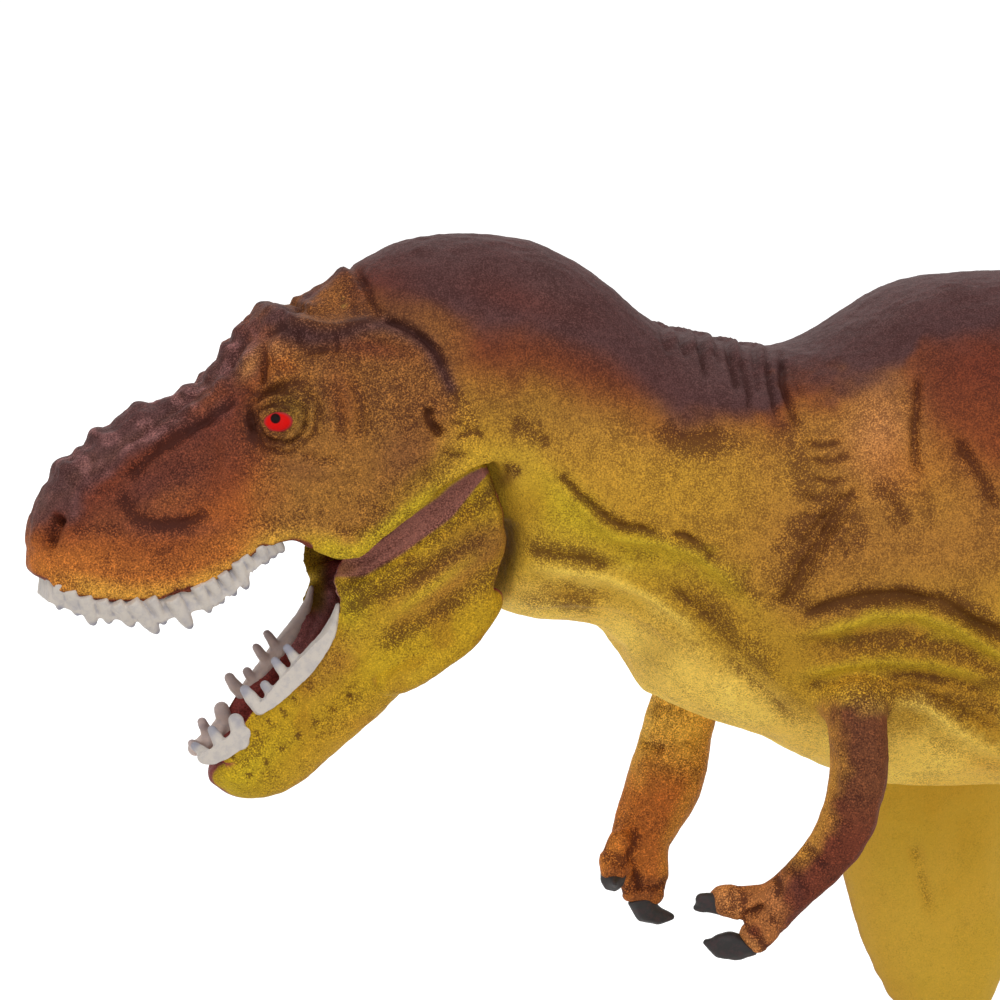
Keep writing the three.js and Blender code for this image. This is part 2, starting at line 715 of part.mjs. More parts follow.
// One half of the shell; side is -1 for the left half, which has the locating pins, and 1 for the right.
function trunkHalf(side) {
  const half = boxSolid([-wide, side < 0 ? -wide : 0, -wide], [wide, side < 0 ? 0 : wide, wide]);
  const pegHole = neckPeg(neckPegRadius + pegGap, neckPegLength + shellWall + pegGap);
  const earRoom = barSolid(earReach + jawStopGap, hingeX, hingeHeight, -wide, wide);
  const jawRoom = prismSolid([[hingeX, hingeHeight], ...jawBack.slice(0, -1)], -wide, wide);
  const skin = cut(trunkOuter(0), neckCut, earRoom, jawRoom);
  const pinBore = barSolid(pinRadius + pinGap, hingeX, hingeHeight, -wide, wide);
  let shell = cut(join(skin, throatSolid()), trunkHollow(), pinBore, pegHole).intersect(half);
  for (const [along, up] of bossShares) {
    const [x, z] = [hipX + along * trunkLength, besideTrunk(up)];
    const sides = [z - bossRadius, z + bossRadius].map((level) => sideAt(trunkSection(x), level));
    const out = side * (Math.min(...sides) - shellWall / 2);
    shell = join(shell, barSolid(bossRadius, x, z, 0, out));
    shell = side < 0
      ? join(shell, barSolid(locatorRadius, x, z, -locatorLength / 2, locatorLength))
      : cut(shell, barSolid(locatorRadius + pegGap, x, z, -locatorLength, locatorLength + pegGap));
  }
  const legBore = barSolid(legPegRadius + pegGap, legPegX, legPegHeight, side * shellWall, side * wide);
  const armBore = barSolid(armPegRadius + pegGap, armPegX, armPegHeight, side * shellWall, side * wide);
  return cut(shell, legBore, armBore);
}

function tailSolid() {
  const stations = tailStationShares.map(([along, top, under, half, swing]) => [
    tailRootX + along * tailLength,
    tailRootTop - top * tailRootDepth,
    tailRootTop - under * tailRootDepth,
    half * tailRootWidth,
    -swing * tailSwing,
  ]);
  const xs = [...spread(tailRootX, stations[7][0], tailStep), ...stations.slice(8).map(([x]) => x)];
  const tail = loftSolid(
    xs.map((x) => {
      const [, top, bottom, half, middle] = stationAt(stations, x);
      return sectionRing({ x, top, bottom, half, middle, widest: (top + bottom) / 2 }, tailSides);
    }),
  );
  const plugRoom = boxSolid([tailRootX - tailPlugLength, -wide, -wide], [tailRootX + overrun / 2, wide, wide]);
  return join(tail, trunkHollow(shellWall + 2 * pegGap).intersect(plugRoom));
}

// A limb through stations [x, y, z, fore-and-aft radius, sideways radius].
function limbSolid(stations, stepLength, around = limbSides) {
  const run = [0];
  stations.slice(1).forEach((row, i) => {
    run.push(run[i] + Math.hypot(row[0] - stations[i][0], row[1] - stations[i][1], row[2] - stations[i][2]));
  });
  const table = stations.map((row, i) => [run[i], ...row]);
  const sideways = new THREE.Vector3(0, 1, 0);
  const rings = spread(0, run.at(-1), stepLength).map((s) => {
    const [, x, y, z, fore, side] = stationAt(table, s);
    const ahead = stationAt(table, Math.min(s + stepLength / 2, run.at(-1))).slice(1, 4);
    const behind = stationAt(table, Math.max(s - stepLength / 2, 0)).slice(1, 4);
    const along = new THREE.Vector3(...ahead).sub(new THREE.Vector3(...behind)).normalize();
    const foreAxis = new THREE.Vector3().crossVectors(sideways, along).normalize();
    const sideAxis = new THREE.Vector3().crossVectors(along, foreAxis);
    return Array.from({ length: around }, (_, i) => {
      const angle = (2 * Math.PI * i) / around;
      return new THREE.Vector3(x, y, z)
        .addScaledVector(foreAxis, fore * Math.cos(angle))
        .addScaledVector(sideAxis, side * Math.sin(angle));
    });
  });
  return loftSolid(rings);
}

// Limb stations in millimetres on one side of the figure.
const limbStations = (shares, side, heightOf = besideTrunk) =>
  shares.map(([x, out, up, fore, sideways]) => [
    hipX + x * trunkLength,
    side * out * trunkWidth,
    heightOf(up),
    fore * trunkWidth,
    sideways * trunkWidth,
  ]);

const fingerStep = 2.2;
const armStep = 4.5;
const legStep = 7.5;
const clawStep = 2.2;

function armSolid(armShares, fingers, side) {
  const stations = limbStations(armShares, side);
  const parts = fingers.map((finger) => limbSolid(limbStations(finger, side), fingerStep, fingerSides));
  const inside = sideAt(trunkSection(armPegX), armPegHeight) - armPegLength;
  const outside = inside + armPegLength + armPegRadius;
  const peg = barSolid(armPegRadius, armPegX, armPegHeight, side * inside, side * outside);
  return join(cut(join(limbSolid(stations, armStep), ...parts), trunkEnvelope), peg);
}

// A claw whose root is cut flat, a glue line away from the end of its finger or toe.
function clawSolid(stations, limb) {
  const [before, end] = limb.slice(-2).map((row) => new THREE.Vector3(...row.slice(0, 3)));
  const along = end.clone().sub(before).normalize();
  const root = end.clone().addScaledVector(along, -clawStep);
  const rows = [[...root.toArray(), ...stations[0].slice(3)], ...stations];
  return limbSolid(rows, clawStep, clawSides).trimByPlane(along.toArray(), along.dot(end) + clawSeatGap);
}

// Toe or toe claw stations in world millimetres, for the toe that points at a turn from straight ahead.
function toeStations(shares, side, turn) {
  const ballX = hipX + (ballShare - (side > 0 ? strideShare : 0)) * trunkLength;
  const angle = THREE.MathUtils.degToRad(turn * toeSpread);
  return shares.map(([ahead, up, radius]) => {
    const reach = ahead * trunkLength;
    const y = side * (footOutShare * trunkWidth + reach * Math.sin(angle));
    return [ballX - reach * Math.cos(angle), y, up * trunkWidth, radius * trunkWidth, radius * trunkWidth];
  });
}
const toeTurns = { inner: -1, middle: 0, outer: 1 };

function legSolid(legShares, side) {
  const heightOf = (up) => (up / legShares[0][2]) * hipHeight;
  const leg = limbSolid(limbStations(legShares, side, heightOf), legStep, legSides);
  const toe = (turn) => limbSolid(toeStations(toeShares, side, turn), legStep / 2);
  const toes = Object.values(toeTurns).map(toe);
  const floor = boxSolid([-wide, -wide, soleHeight - wide], [wide, wide, soleHeight]);
  const inside = sideAt(trunkSection(legPegX), legPegHeight) - legPegLength;
  const outside = inside + legPegLength + shellWall;
  const peg = barSolid(legPegRadius, legPegX, legPegHeight, side * inside, side * outside);
  return join(cut(join(leg, ...toes), floor, trunkEnvelope), peg);
}

// Moves an outline of [along, across] points in by a distance, along its own normals.
function insetOutline(points, distance) {
  return points.map(([x, y], i) => {
    const [ax, ay] = points[Math.max(i - 1, 0)];
    const [bx, by] = points[Math.min(i + 1, points.length - 1)];
    const length = Math.hypot(bx - ax, by - ay);
    return [x - (distance * (by - ay)) / length, y + (distance * (bx - ax)) / length];
  });
}

// The U-shaped band that the teeth of one jaw stand on, grown on every side by a distance.
function bandSolid({ outline, place, levels }, grow = 0) {
  const halfBand = toothBandThickness / 2 + grow;
  const outer = insetOutline(outline, -halfBand);
  const inner = insetOutline(outline, halfBand);
  return loftSolid(
    outline.map(([along], i) => {
      const [bottom, top] = [levels(along)[0] - grow, levels(along)[1] + grow];
      const corners = [[outer, bottom], [inner, bottom], [inner, top], [outer, top]];
      return corners.map(([line, level]) => place(...line[i], level));
    }),
  );
}

// A band with its teeth. place maps (along, across, up) to the world, and levels gives the band's bottom and
// top; teeth point towards up when growUp is true.
function toothRow(row) {
  const { outline, place, levels, teeth, length, growUp } = row;
  const run = [0];
  outline.slice(1).forEach(([x, y], i) => run.push(run[i] + Math.hypot(x - outline[i][0], y - outline[i][1])));
  const table = outline.map(([x, y], i) => [run[i], x, y]);
  const middle = run.at(-1) / 2;
  const cones = teeth.flatMap(([along, size]) =>
    [-1, 1].map((side) => {
      const [, x, y] = stationAt(table, middle + side * along * middle);
      const [, nextX, nextY] = stationAt(table, middle + side * along * middle + toothRadius);
      const turn = Math.atan2(nextY - y, nextX - x);
      const [bottom, top] = levels(x);
      const root = growUp ? top - toothBandThickness / 2 : bottom + toothBandThickness / 2;
      const tip = growUp ? top + size * length : bottom - size * length;
      const girth = (level, radius) =>
        Array.from({ length: toothSides }, (_, i) => {
          const angle = (2 * Math.PI * i) / toothSides;
          const [ahead, across] = [radius * Math.cos(angle), toothFlatShare * radius * Math.sin(angle)];
          const [cosTurn, sinTurn] = [Math.cos(turn), Math.sin(turn)];
          return place(x + ahead * cosTurn - across * sinTurn, y + ahead * sinTurn + across * cosTurn, level);
        });
      const levelsUp = [root, (root + tip) / 2, tip];
      return loftSolid(toothTaperShares.map((share, i) => girth(levelsUp[i], share * toothRadius)));
    }),
  );
  return join(bandSolid(row), ...cones);
}

const bandInset = lipWall + seamGap + toothBandThickness / 2;

function upperRow() {
  const back = noseX + upperRowLength;
  const front = headStations.slice(1, 3).reverse();
  const xs = [...spread(back, headStations[3][0], headStep), ...front.map(([x]) => x)];
  const left = xs.map((x) => [x, -headSection(x).half]);
  const outline = insetOutline([...left, ...left.map(([x, y]) => [x, -y]).reverse()], -bandInset);
  return {
    outline,
    place: (x, y, z) => new THREE.Vector3(x, y, z),
    levels: (x) => [headSection(x).bottom - upperBandBelow, headSection(x).bottom + upperBandAbove],
    teeth: upperToothShares,
    length: upperToothLength - upperBandBelow,
    growUp: false,
  };
}

function lowerRow() {
  const front = jawStations.at(-3)[0];
  const us = [...spread(lowerRowStart, front, headStep), jawStations.at(-2)[0]];
  const left = us.map((u) => [u, -stationAt(jawStations, u)[3]]);
  const inset = toothBandThickness / 2 + seamGap;
  const outline = insetOutline([...left, ...left.map(([u, y]) => [u, -y]).reverse()], inset);
  return {
    outline,
    place: (u, y, v) => jawPoint(u, y, v),
    levels: (u) => {
      const seat = stationAt(jawStations, u)[1] + seamGap;
      return [seat, seat + lowerBandHeight];
    },
    teeth: lowerToothShares,
    length: lowerToothLength,
    growUp: true,
  };
}

// Tongue: [along tongueLength, half width of tongueWidth, height of tongueHeight]
const tongueShares = [
  [0, 0.3, 0.5],
  [0.1, 0.46, 0.85],
  [0.4, 0.5, 1],
  [0.75, 0.4, 0.8],
  [0.93, 0.26, 0.6],
  [1, 0.12, 0.4],
];

function tongueSolid() {
  return loftSolid(
    tongueShares.map(([along, halfShare, heightShare]) => {
      const u = tongueStart + along * tongueLength;
      const [, , bottom, half] = stationAt(jawStations, u);
      const floor = bottom + jawFloorWall + seamGap;
      const top = floor + heightShare * tongueHeight;
      const side = Math.min(halfShare * tongueWidth, half - jawWall - seamGap);
      return jawRing(u, top, floor, side, (floor + top) / 2, roundPower, tonguePower);
    }),
  );
}

const paint = {
  skin: [0x8a6a2c, 0.62],
  skull: [0x7c4a24, 0.6],
  jaw: [0x8c8420, 0.6],
  arm: [0x7a4a24, 0.6],
  tooth: [0xe4dcd4, 0.45],
  tongue: [0x6e2f30, 0.5],
  claw: [0x24242a, 0.5],
  eye: [0xd01818, 0.25],
};
const steel = new THREE.MeshStandardMaterial({ color: 0xb8bcc0, roughness: 0.3, metalness: 1 });

const figure = new THREE.Group();

function addPiece(name, solid, finish) {
  const [color, roughness] = paint[finish] ?? [];
  const painted = () => new THREE.MeshStandardMaterial({ color, roughness, metalness: 0 });
  const material = finish === "steel" ? steel : painted();
  const mesh = new THREE.Mesh(toGeometry(solid), material);
  mesh.name = name;
  figure.add(mesh);
}

addPiece("skull", skullSolid(), "skull");
addPiece("upper_teeth", toothRow(upperRow()), "tooth");
addPiece("left_eye", ballSolid(eyeRadius, eyeX, -eyeOut, eyeHeight), "eye");
addPiece("right_eye", ballSolid(eyeRadius, eyeX, eyeOut, eyeHeight), "eye");
addPiece("lower_jaw", jawSolid(), "jaw");
addPiece("lower_teeth", toothRow(lowerRow()), "tooth");
addPiece("tongue", tongueSolid(), "tongue");
const pinHalf = jawWidth / 2 - pinEndInset;
addPiece("jaw_pin", barSolid(pinRadius, hingeX, hingeHeight, -pinHalf, pinHalf), "steel");
addPiece("trunk_left_shell", trunkHalf(-1), "skin");
addPiece("trunk_right_shell", trunkHalf(1), "skin");
addPiece("tail", tailSolid(), "skin");
addPiece("left_arm", armSolid(leftArmShares, leftFingerShares, -1), "arm");
addPiece("right_arm", armSolid(rightArmShares, rightFingerShares, 1), "arm");
addPiece("left_leg", legSolid(leftLegShares, -1), "skin");
addPiece("right_leg", legSolid(rightLegShares, 1), "skin");
[
  ["left", -1, leftClawShares, leftFingerShares],
  ["right", 1, rightClawShares, rightFingerShares],
].forEach(([name, side, claws, fingers]) => {
  claws.forEach((shares, i) => {
    const claw = clawSolid(limbStations(shares, side), limbStations(fingers[i], side));
    addPiece(`${name}_hand_claw_${i + 1}`, claw, "claw");
  });
  Object.entries(toeTurns).forEach(([toe, turn]) => {
    const claw = clawSolid(toeStations(toeClawShares, side, turn), toeStations(toeShares, side, turn));
    addPiece(`${name}_${toe}_toe_claw`, claw, "claw");
  });
});

export default figure;
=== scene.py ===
import logging
import math
from dataclasses import dataclass, field
from enum import Enum
from functools import partial
from typing import Callable, Iterable, Sequence

import bmesh
import bpy
import numpy as np
from mathutils import Matrix, Vector
from mathutils.bvhtree import BVHTree
from mathutils.geometry import delaunay_2d_cdt


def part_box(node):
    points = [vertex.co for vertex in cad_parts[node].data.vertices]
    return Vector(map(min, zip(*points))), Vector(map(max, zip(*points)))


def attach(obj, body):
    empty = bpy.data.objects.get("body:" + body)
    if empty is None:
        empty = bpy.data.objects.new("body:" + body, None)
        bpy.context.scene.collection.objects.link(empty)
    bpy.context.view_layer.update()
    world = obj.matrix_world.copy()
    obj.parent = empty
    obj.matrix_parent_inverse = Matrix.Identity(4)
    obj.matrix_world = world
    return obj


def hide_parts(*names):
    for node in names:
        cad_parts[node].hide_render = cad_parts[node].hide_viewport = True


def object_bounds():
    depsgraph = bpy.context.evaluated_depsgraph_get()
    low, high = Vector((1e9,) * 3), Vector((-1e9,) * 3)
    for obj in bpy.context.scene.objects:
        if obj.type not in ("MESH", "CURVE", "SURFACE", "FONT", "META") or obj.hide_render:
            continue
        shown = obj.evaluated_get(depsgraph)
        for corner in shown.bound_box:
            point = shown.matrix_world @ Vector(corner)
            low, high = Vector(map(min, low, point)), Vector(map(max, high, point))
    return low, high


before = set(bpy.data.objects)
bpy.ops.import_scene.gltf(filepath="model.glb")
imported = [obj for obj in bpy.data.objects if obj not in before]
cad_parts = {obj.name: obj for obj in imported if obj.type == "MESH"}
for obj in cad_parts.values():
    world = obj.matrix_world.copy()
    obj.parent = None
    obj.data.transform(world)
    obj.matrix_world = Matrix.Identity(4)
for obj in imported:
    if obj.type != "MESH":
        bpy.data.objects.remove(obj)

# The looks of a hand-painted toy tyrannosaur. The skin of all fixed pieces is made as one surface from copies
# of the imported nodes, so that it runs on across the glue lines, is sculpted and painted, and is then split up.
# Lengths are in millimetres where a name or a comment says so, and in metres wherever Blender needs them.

CAD_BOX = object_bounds()
MM = 0.001
LOG = logging.getLogger("figure")

Pixel = tuple[float, float]
Colour = tuple[float, float, float]


class Body(Enum):
    """The two bodies of the frame."""

    FIGURE = "figure"
    JAW = "jaw"


class Slot(Enum):
    """The record's material slots."""

    HEAD = "head_skin"
    TEETH = "teeth"
    EYES = "eyes"
    JAW = "jaw_skin"
    TONGUE = "tongue"
    STEEL = "steel"
    BODY = "body_skin"
    ARM = "arm_skin"
    LEG = "leg_skin"
    CLAWS = "claws"


def from_hex(code: str) -> Colour:
    """Turns a colour as seen on a screen, such as 8a6223, into linear light."""
    levels = [int(code[i : i + 2], 16) / 255 for i in (0, 2, 4)]
    return tuple(v / 12.92 if v <= 0.04045 else ((v + 0.055) / 1.055) ** 2.4 for v in levels)


@dataclass(frozen=True)
class Palette:
    """The paints on the figure, as they look in plain light."""

    cream: Colour = from_hex("ffdb66")
    honey: Colour = from_hex("e0a944")
    amber: Colour = from_hex("c9913c")
    ochre: Colour = from_hex("c0902f")
    bronze: Colour = from_hex("9c6c1a")
    olive: Colour = from_hex("b8921f")
    lime: Colour = from_hex("c6ad24")
    moss: Colour = from_hex("7a6226")
    tan: Colour = from_hex("a86f34")
    peach: Colour = from_hex("cf8d50")
    orange: Colour = from_hex("b8692c")
    rust: Colour = from_hex("944c24")
    red_brown: Colour = from_hex("6f3324")
    umber: Colour = from_hex("6e4028")
    plum: Colour = from_hex("5c322c")
    slate: Colour = from_hex("54393a")
    grey: Colour = from_hex("6c5250")
    # shade is the dark brown of specks and blotches, and also painted shade in the nostril, in front of the eye,
    # behind and deep in the mouth
    shade: Colour = from_hex("42231c")
    pink: Colour = from_hex("925c58")
    maroon: Colour = from_hex("9a4344")
    gum: Colour = from_hex("c28684")
    mustard: Colour = from_hex("b8962a")
    tooth: Colour = from_hex("cfc5ba")
    lilac: Colour = from_hex("8c8c9c")
    blush: Colour = from_hex("cdb0a4")
    claw: Colour = from_hex("2c2928")
    eye_red: Colour = from_hex("d4100c")
    black: Colour = from_hex("070404")
    steel: Colour = from_hex("c4c6ca")


PAINT = Palette()


def smooth_step(low: float, high: float, value: np.ndarray) -> np.ndarray:
    """Eases from 0 at low to 1 at high.

    Args:
        low: Where the result starts to leave 0.
        high: Where it reaches 1; it may lie below low, which turns the step round.
        value: The values to ease.

    Returns:
        An array of the same shape.
    """
    t = np.clip((value - low) / (high - low), 0, 1)
    return t * t * (3 - 2 * t)


@dataclass(frozen=True)
class PhotoView:
    """The photograph's camera, and how a point of the figure falls on its pixels."""

    azimuth: float = -15
    elevation: float = 8
    target: tuple[float, float, float] = (-0.0812, 0.0, 0.10745)
    distance: float = 0.7778
    lens: float = 200
    sensor: float = 36
    frame_size: int = 1000

    @property
    def back(self) -> np.ndarray:
        """Direction from the figure to the camera."""
        az, el = math.radians(self.azimuth), math.radians(self.elevation)
        return np.array([math.sin(az) * math.cos(el), -math.cos(az) * math.cos(el), math.sin(el)])

    @property
    def right(self) -> np.ndarray:
        """Direction to the right of the picture."""
        az = math.radians(self.azimuth)
        return np.array([math.cos(az), math.sin(az), 0.0])

    @property
    def place(self) -> np.ndarray:
        """Where the camera stands."""
        return np.array(self.target) + self.distance * self.back

    @property
    def focal(self) -> float:
        """Focal length in pixels."""
        return self.lens / self.sensor * self.frame_size

    def project(self, points: np.ndarray) -> np.ndarray:
        """Projects points to pixels.

        Args:
            points: Rows of x, y, z in metres.

        Returns:
            Rows of pixel coordinates, right and down.
        """
        q = points - self.place
        depth = -(q @ self.back)
        up = np.cross(self.back, self.right)
        half = self.frame_size / 2
        return np.stack([half + q @ self.right / depth * self.focal, half - q @ up / depth * self.focal],
                        axis=1)

    def ray(self, pixel: Pixel) -> np.ndarray:
        """Finds the direction from the camera through a pixel.

        Args:
            pixel: The pixel.

        Returns:
            The direction, of length 1.
        """
        up = np.cross(self.back, self.right)
        half = self.frame_size / 2
        across, down = (pixel[0] - half) / self.focal, (pixel[1] - half) / self.focal
        direction = -self.back + across * self.right - down * up
        return direction / np.linalg.norm(direction)

    def hit(self, pixel: Pixel, tree: BVHTree) -> tuple[np.ndarray, np.ndarray] | None:
        """Finds what a pixel shows of a surface.

        Args:
            pixel: The pixel.
            tree: The surface.

        Returns:
            The point and the normal there, or None where the ray misses.
        """
        point, normal, _, _ = tree.ray_cast(Vector(self.place), Vector(self.ray(pixel)))
        return None if point is None else (np.array(point), np.array(normal))

    def on_plane(self, pixel: Pixel, y: float) -> np.ndarray:
        """The point behind a pixel on the upright plane at a value of y."""
        direction = self.ray(pixel)
        return self.place + direction * ((y - self.place[1]) / direction[1])


VIEW = PhotoView()
PIXELS_PER_MM = 7.14


def to_segments(points: np.ndarray, line: Sequence[Pixel]) -> tuple[np.ndarray, np.ndarray]:
    """Measures points against a polyline.

    Args:
        points: Rows of two coordinates.
        line: The polyline's corners.

    Returns:
        The distance to it, and how far along it the nearest place is, from 0 to 1.
    """
    corners = np.array(line, float)
    lengths = np.linalg.norm(np.diff(corners, axis=0), axis=1)
    starts = np.concatenate([[0], np.cumsum(lengths)])
    best = np.full(len(points), np.inf)
    along = np.zeros(len(points))
    for a, b, start, length in zip(corners, corners[1:], starts, lengths):
        t = np.clip((points - a) @ (b - a) / length**2, 0, 1)
        gap = np.linalg.norm(points - a - t[:, None] * (b - a), axis=1)
        nearer = gap < best
        best[nearer] = gap[nearer]
        along[nearer] = (start + t[nearer] * length) / starts[-1]
    return best, along


# turns the noise's grid away from the figure's axes, so that it doesn't show as squares
SLANT = np.array(((0.8, 0.36, 0.48), (-0.6, 0.48, 0.64), (0.0, -0.8, 0.6)))


def line_height(x: np.ndarray, line: Sequence[Pixel]) -> np.ndarray:
    """Height of a line that runs from left to right, level beyond its ends."""
    corners = np.array(line, float)
    return np.interp(x, corners[:, 0], corners[:, 1])


def cell_noise(points: np.ndarray, size: float, seed: int = 0) -> np.ndarray:
    """Soft lumpy noise: random values on a grid, blended smoothly between its corners.

    Args:
        points: Rows of coordinates.
        size: Distance between the grid's corners.
        seed: Picks another pattern.

    Returns:
        A value from -1 to 1 for each point.
    """
    scaled = points / size
    base = np.floor(scaled).astype(np.int64)
    part = scaled - base
    part = part * part * (3 - 2 * part)
    total = np.zeros(len(points))
    for corner in np.ndindex(*(2,) * points.shape[1]):
        spot = base + corner
        mixed = spot[:, 0] * 73856093 ^ spot[:, 1] * 19349663 ^ (seed + 1) * 83492791
        if points.shape[1] == 3:
            mixed ^= spot[:, 2] * 50331653
        mixed = (mixed ^ (mixed >> 13)) * 1274126177
        value = ((mixed ^ (mixed >> 16)) & 0xFFFF) / 32767.5 - 1
        weight = np.prod(np.where(corner, part, 1 - part), axis=1)
        total += value * weight
    return total


def vertex_vectors(mesh: bpy.types.Mesh, name: str = "co") -> np.ndarray:
    """Reads one vector of each vertex.

    Args:
        mesh: The mesh.
        name: Blender's name for the vector.

    Returns:
        Rows of vectors.
    """
    values = np.empty(len(mesh.vertices) * 3)
    mesh.vertices.foreach_get(name, values)
    return values.reshape(-1, 3)


def near_fold(points: np.ndarray) -> np.ndarray:
    """Factors that fold points of the far side over to the near one."""
    return np.where(points[:, 1:2] > 0, np.array([[1.0, -1.0, 1.0]]), 1.0)


@dataclass(frozen=True)
class Stroke:
    """A groove or a ridge along a line of pixels, worked into the skin on both sides of the figure."""

    line: tuple[Pixel, ...]
    width: float
    height: float
    wash_and_shade: float = 0.0
    fade: float = 0.2

    def profile(self, pixels: np.ndarray, wobble: np.ndarray) -> tuple[np.ndarray, np.ndarray]:
        """How strongly the stroke works at each pixel.

        Args:
            pixels: Rows of pixel coordinates.
            wobble: Noise from -1 to 1 that makes its outline uneven.

        Returns:
            Indices of the pixels that it reaches, and its strength there.
        """
        corners = np.array(self.line)
        low, high = corners.min(0) - 3 * self.width, corners.max(0) + 3 * self.width
        near = np.flatnonzero(np.all((pixels > low) & (pixels < high), axis=1))
        gap, along = to_segments(pixels[near], self.line)
        taper = smooth_step(0, self.fade, along) * smooth_step(1, 1 - self.fade, along) if self.fade else 1.0
        gap = gap * (1 + 0.3 * wobble[near]) / self.width
        return near, np.exp(-(gap**2)) * taper * (1 + 0.25 * wobble[near])


@dataclass(frozen=True)
class Mound:
    """A rounded swelling or hollow over an ellipse of pixels."""

    centre: Pixel
    radii: Pixel
    height: float
    tilt: float = 0.0
    wash_and_shade: float = 0.0
    ring: float = 0.0

    def profile(self, pixels: np.ndarray, wobble: np.ndarray) -> tuple[np.ndarray, np.ndarray]:
        """How strongly the mound works at each pixel; a ring works only round its edge.

        Args:
            pixels: Rows of pixel coordinates.
            wobble: Noise from -1 to 1 that makes its outline uneven.

        Returns:
            Indices of the pixels that it reaches, and its strength there.
        """
        turn = math.radians(self.tilt)
        offset = pixels - np.array(self.centre)
        along = offset @ np.array([math.cos(turn), math.sin(turn)]) / self.radii[0]
        across = offset @ np.array([-math.sin(turn), math.cos(turn)]) / self.radii[1]
        reach = np.hypot(along, across) * (1 + 0.16 * wobble)
        near = np.flatnonzero(reach < 2.2)
        if self.ring:
            return near, np.exp(-(((reach[near] - 1) / self.ring) ** 2))
        return near, np.exp(-(reach[near] ** 2) * 1.4)


@dataclass
class Skin:
    """A surface as arrays: points in metres, four-cornered faces, and what is painted on it."""

    points: np.ndarray
    faces: np.ndarray
    normals: np.ndarray = field(default=None)
    labels: np.ndarray = field(default=None)
    colour: np.ndarray = field(default=None)
    wash_and_shade: np.ndarray = field(default=None)
    wet: np.ndarray = field(default=None)

    def __post_init__(self) -> None:
        """Finds the edges and starts with bare paint."""
        pairs = np.sort(np.concatenate([self.faces[:, [i, (i + 1) % 4]] for i in range(4)]), axis=1)
        self.edges = np.unique(pairs, axis=0)
        self.valence = np.bincount(self.edges.ravel(), minlength=len(self.points)).astype(float)
        self.colour = np.zeros((len(self.points), 3))
        self.wash_and_shade = np.zeros(len(self.points))
        self.wet = np.zeros(len(self.points))
        self.update_normals()

    @classmethod
    def of_mesh(cls, mesh: bpy.types.Mesh, low: float = -1.0, high: float = 1.0,
                all_parts: bool = False) -> "Skin":
        """Reads a voxel-remeshed mesh, as a rule only its largest connected part.

        Args:
            mesh: The mesh, of four-cornered faces.
            low: What lies below this x is left out, in metres.
            high: What lies above this x is left out.
            all_parts: Whether smaller parts are kept too.

        Returns:
            The skin.
        """
        points = vertex_vectors(mesh)
        corners = np.empty(len(mesh.loops), int)
        mesh.loops.foreach_get("vertex_index", corners)
        faces = corners.reshape(-1, 4)
        across = points[faces[:, 0], 0]
        faces = faces[(across > low) & (across < high)]
        used, faces = np.unique(faces, return_inverse=True)
        points, faces = points[used], faces.reshape(-1, 4)
        if all_parts:
            return cls(points, faces)
        pairs = np.concatenate([faces[:, [i, (i + 1) % 4]] for i in range(4)])
        pairs = np.concatenate([pairs, pairs[:, ::-1]])
        pairs = pairs[np.argsort(pairs[:, 0], kind="stable")]
        starts = np.searchsorted(pairs[:, 0], np.arange(len(points)))
        group = np.arange(len(points))
        while True:
            before = group
            group = np.minimum(group, np.minimum.reduceat(group[pairs[:, 1]], starts))
            for _ in range(4):
                group = group[group]
            if np.array_equal(before, group):
                break
        keep = group == np.bincount(group).argmax()
        order = np.cumsum(keep) - 1
        faces = order[faces[keep[faces[:, 0]]]]
        return cls(points[keep], faces)

    @classmethod
    def of_pieces(cls, pieces: Sequence[bpy.types.Object], voxel: float, all_parts: bool = False) -> "Skin":
        """Wraps pieces in a skin that stays in one piece.

        Args:
            pieces: The pieces, which are used up.
            voxel: Grid size in metres.
            all_parts: Whether parts that don't touch the largest one are kept too.

        Returns:
            The skin.
        """
        skin = cls.of_mesh(remeshed(pieces, voxel), all_parts=all_parts)
        skin.labels = np.zeros(len(skin.faces), int)
        return skin

    def update_normals(self) -> None:
        """Works out a normal for each point from the faces round it."""
        a, b, c, d = (self.points[self.faces[:, i]] for i in range(4))
        across = np.cross(c - a, d - b)
        total = np.zeros_like(self.points)
        for column in range(3):
            for corner in range(4):
                total[:, column] += np.bincount(self.faces[:, corner], across[:, column], len(self.points))
        self.normals = total / np.maximum(np.linalg.norm(total, axis=1, keepdims=True), 1e-12)

    def average(self, values: np.ndarray) -> np.ndarray:
        """Averages each point's neighbours.

        Args:
            values: One value or one row for each point.

        Returns:
            The averages, in the same shape.
        """
        columns = values if values.ndim == 2 else values[:, None]
        first, second = self.edges.T
        total = np.stack(
            [
                np.bincount(first, column[second], len(self.points))
             + np.bincount(second, column[first], len(self.points))
                for column in columns.T
            ],
            axis=1,
        )
        total /= self.valence[:, None]
        return total if values.ndim == 2 else total[:, 0]

    def relax(self, rounds: int, strength: np.ndarray | float = 1.0) -> None:
        """Smooths the surface.

        Args:
            rounds: How many times each point moves towards its neighbours.
            strength: How far it moves, from 0 to 1, for all points or for each.
        """
        amount = strength[:, None] if isinstance(strength, np.ndarray) else strength
        for _ in range(rounds):
            self.points += (self.average(self.points) - self.points) * amount
        self.update_normals()

    def blur(self, values: np.ndarray, rounds: int) -> np.ndarray:
        """Spreads values over the surface.

        Args:
            values: One value or one row for each point.
            rounds: How many times they spread to their neighbours.

        Returns:
            The softened values.
        """
        for _ in range(rounds):
            values = 0.5 * values + 0.5 * self.average(values)
        return values

    def push(self, heights: np.ndarray) -> None:
        """Moves each point along its normal by a height in millimetres."""
        self.points += self.normals * (heights * MM)[:, None]
        self.update_normals()

    def mirrored(self) -> tuple[np.ndarray, np.ndarray]:
        """Folds the far side over to the near one.

        Returns:
            The points' pixels, and how much each point faces the camera.
        """
        fold = near_fold(self.points)
        return VIEW.project(self.points * fold), (self.normals * fold) @ VIEW.back

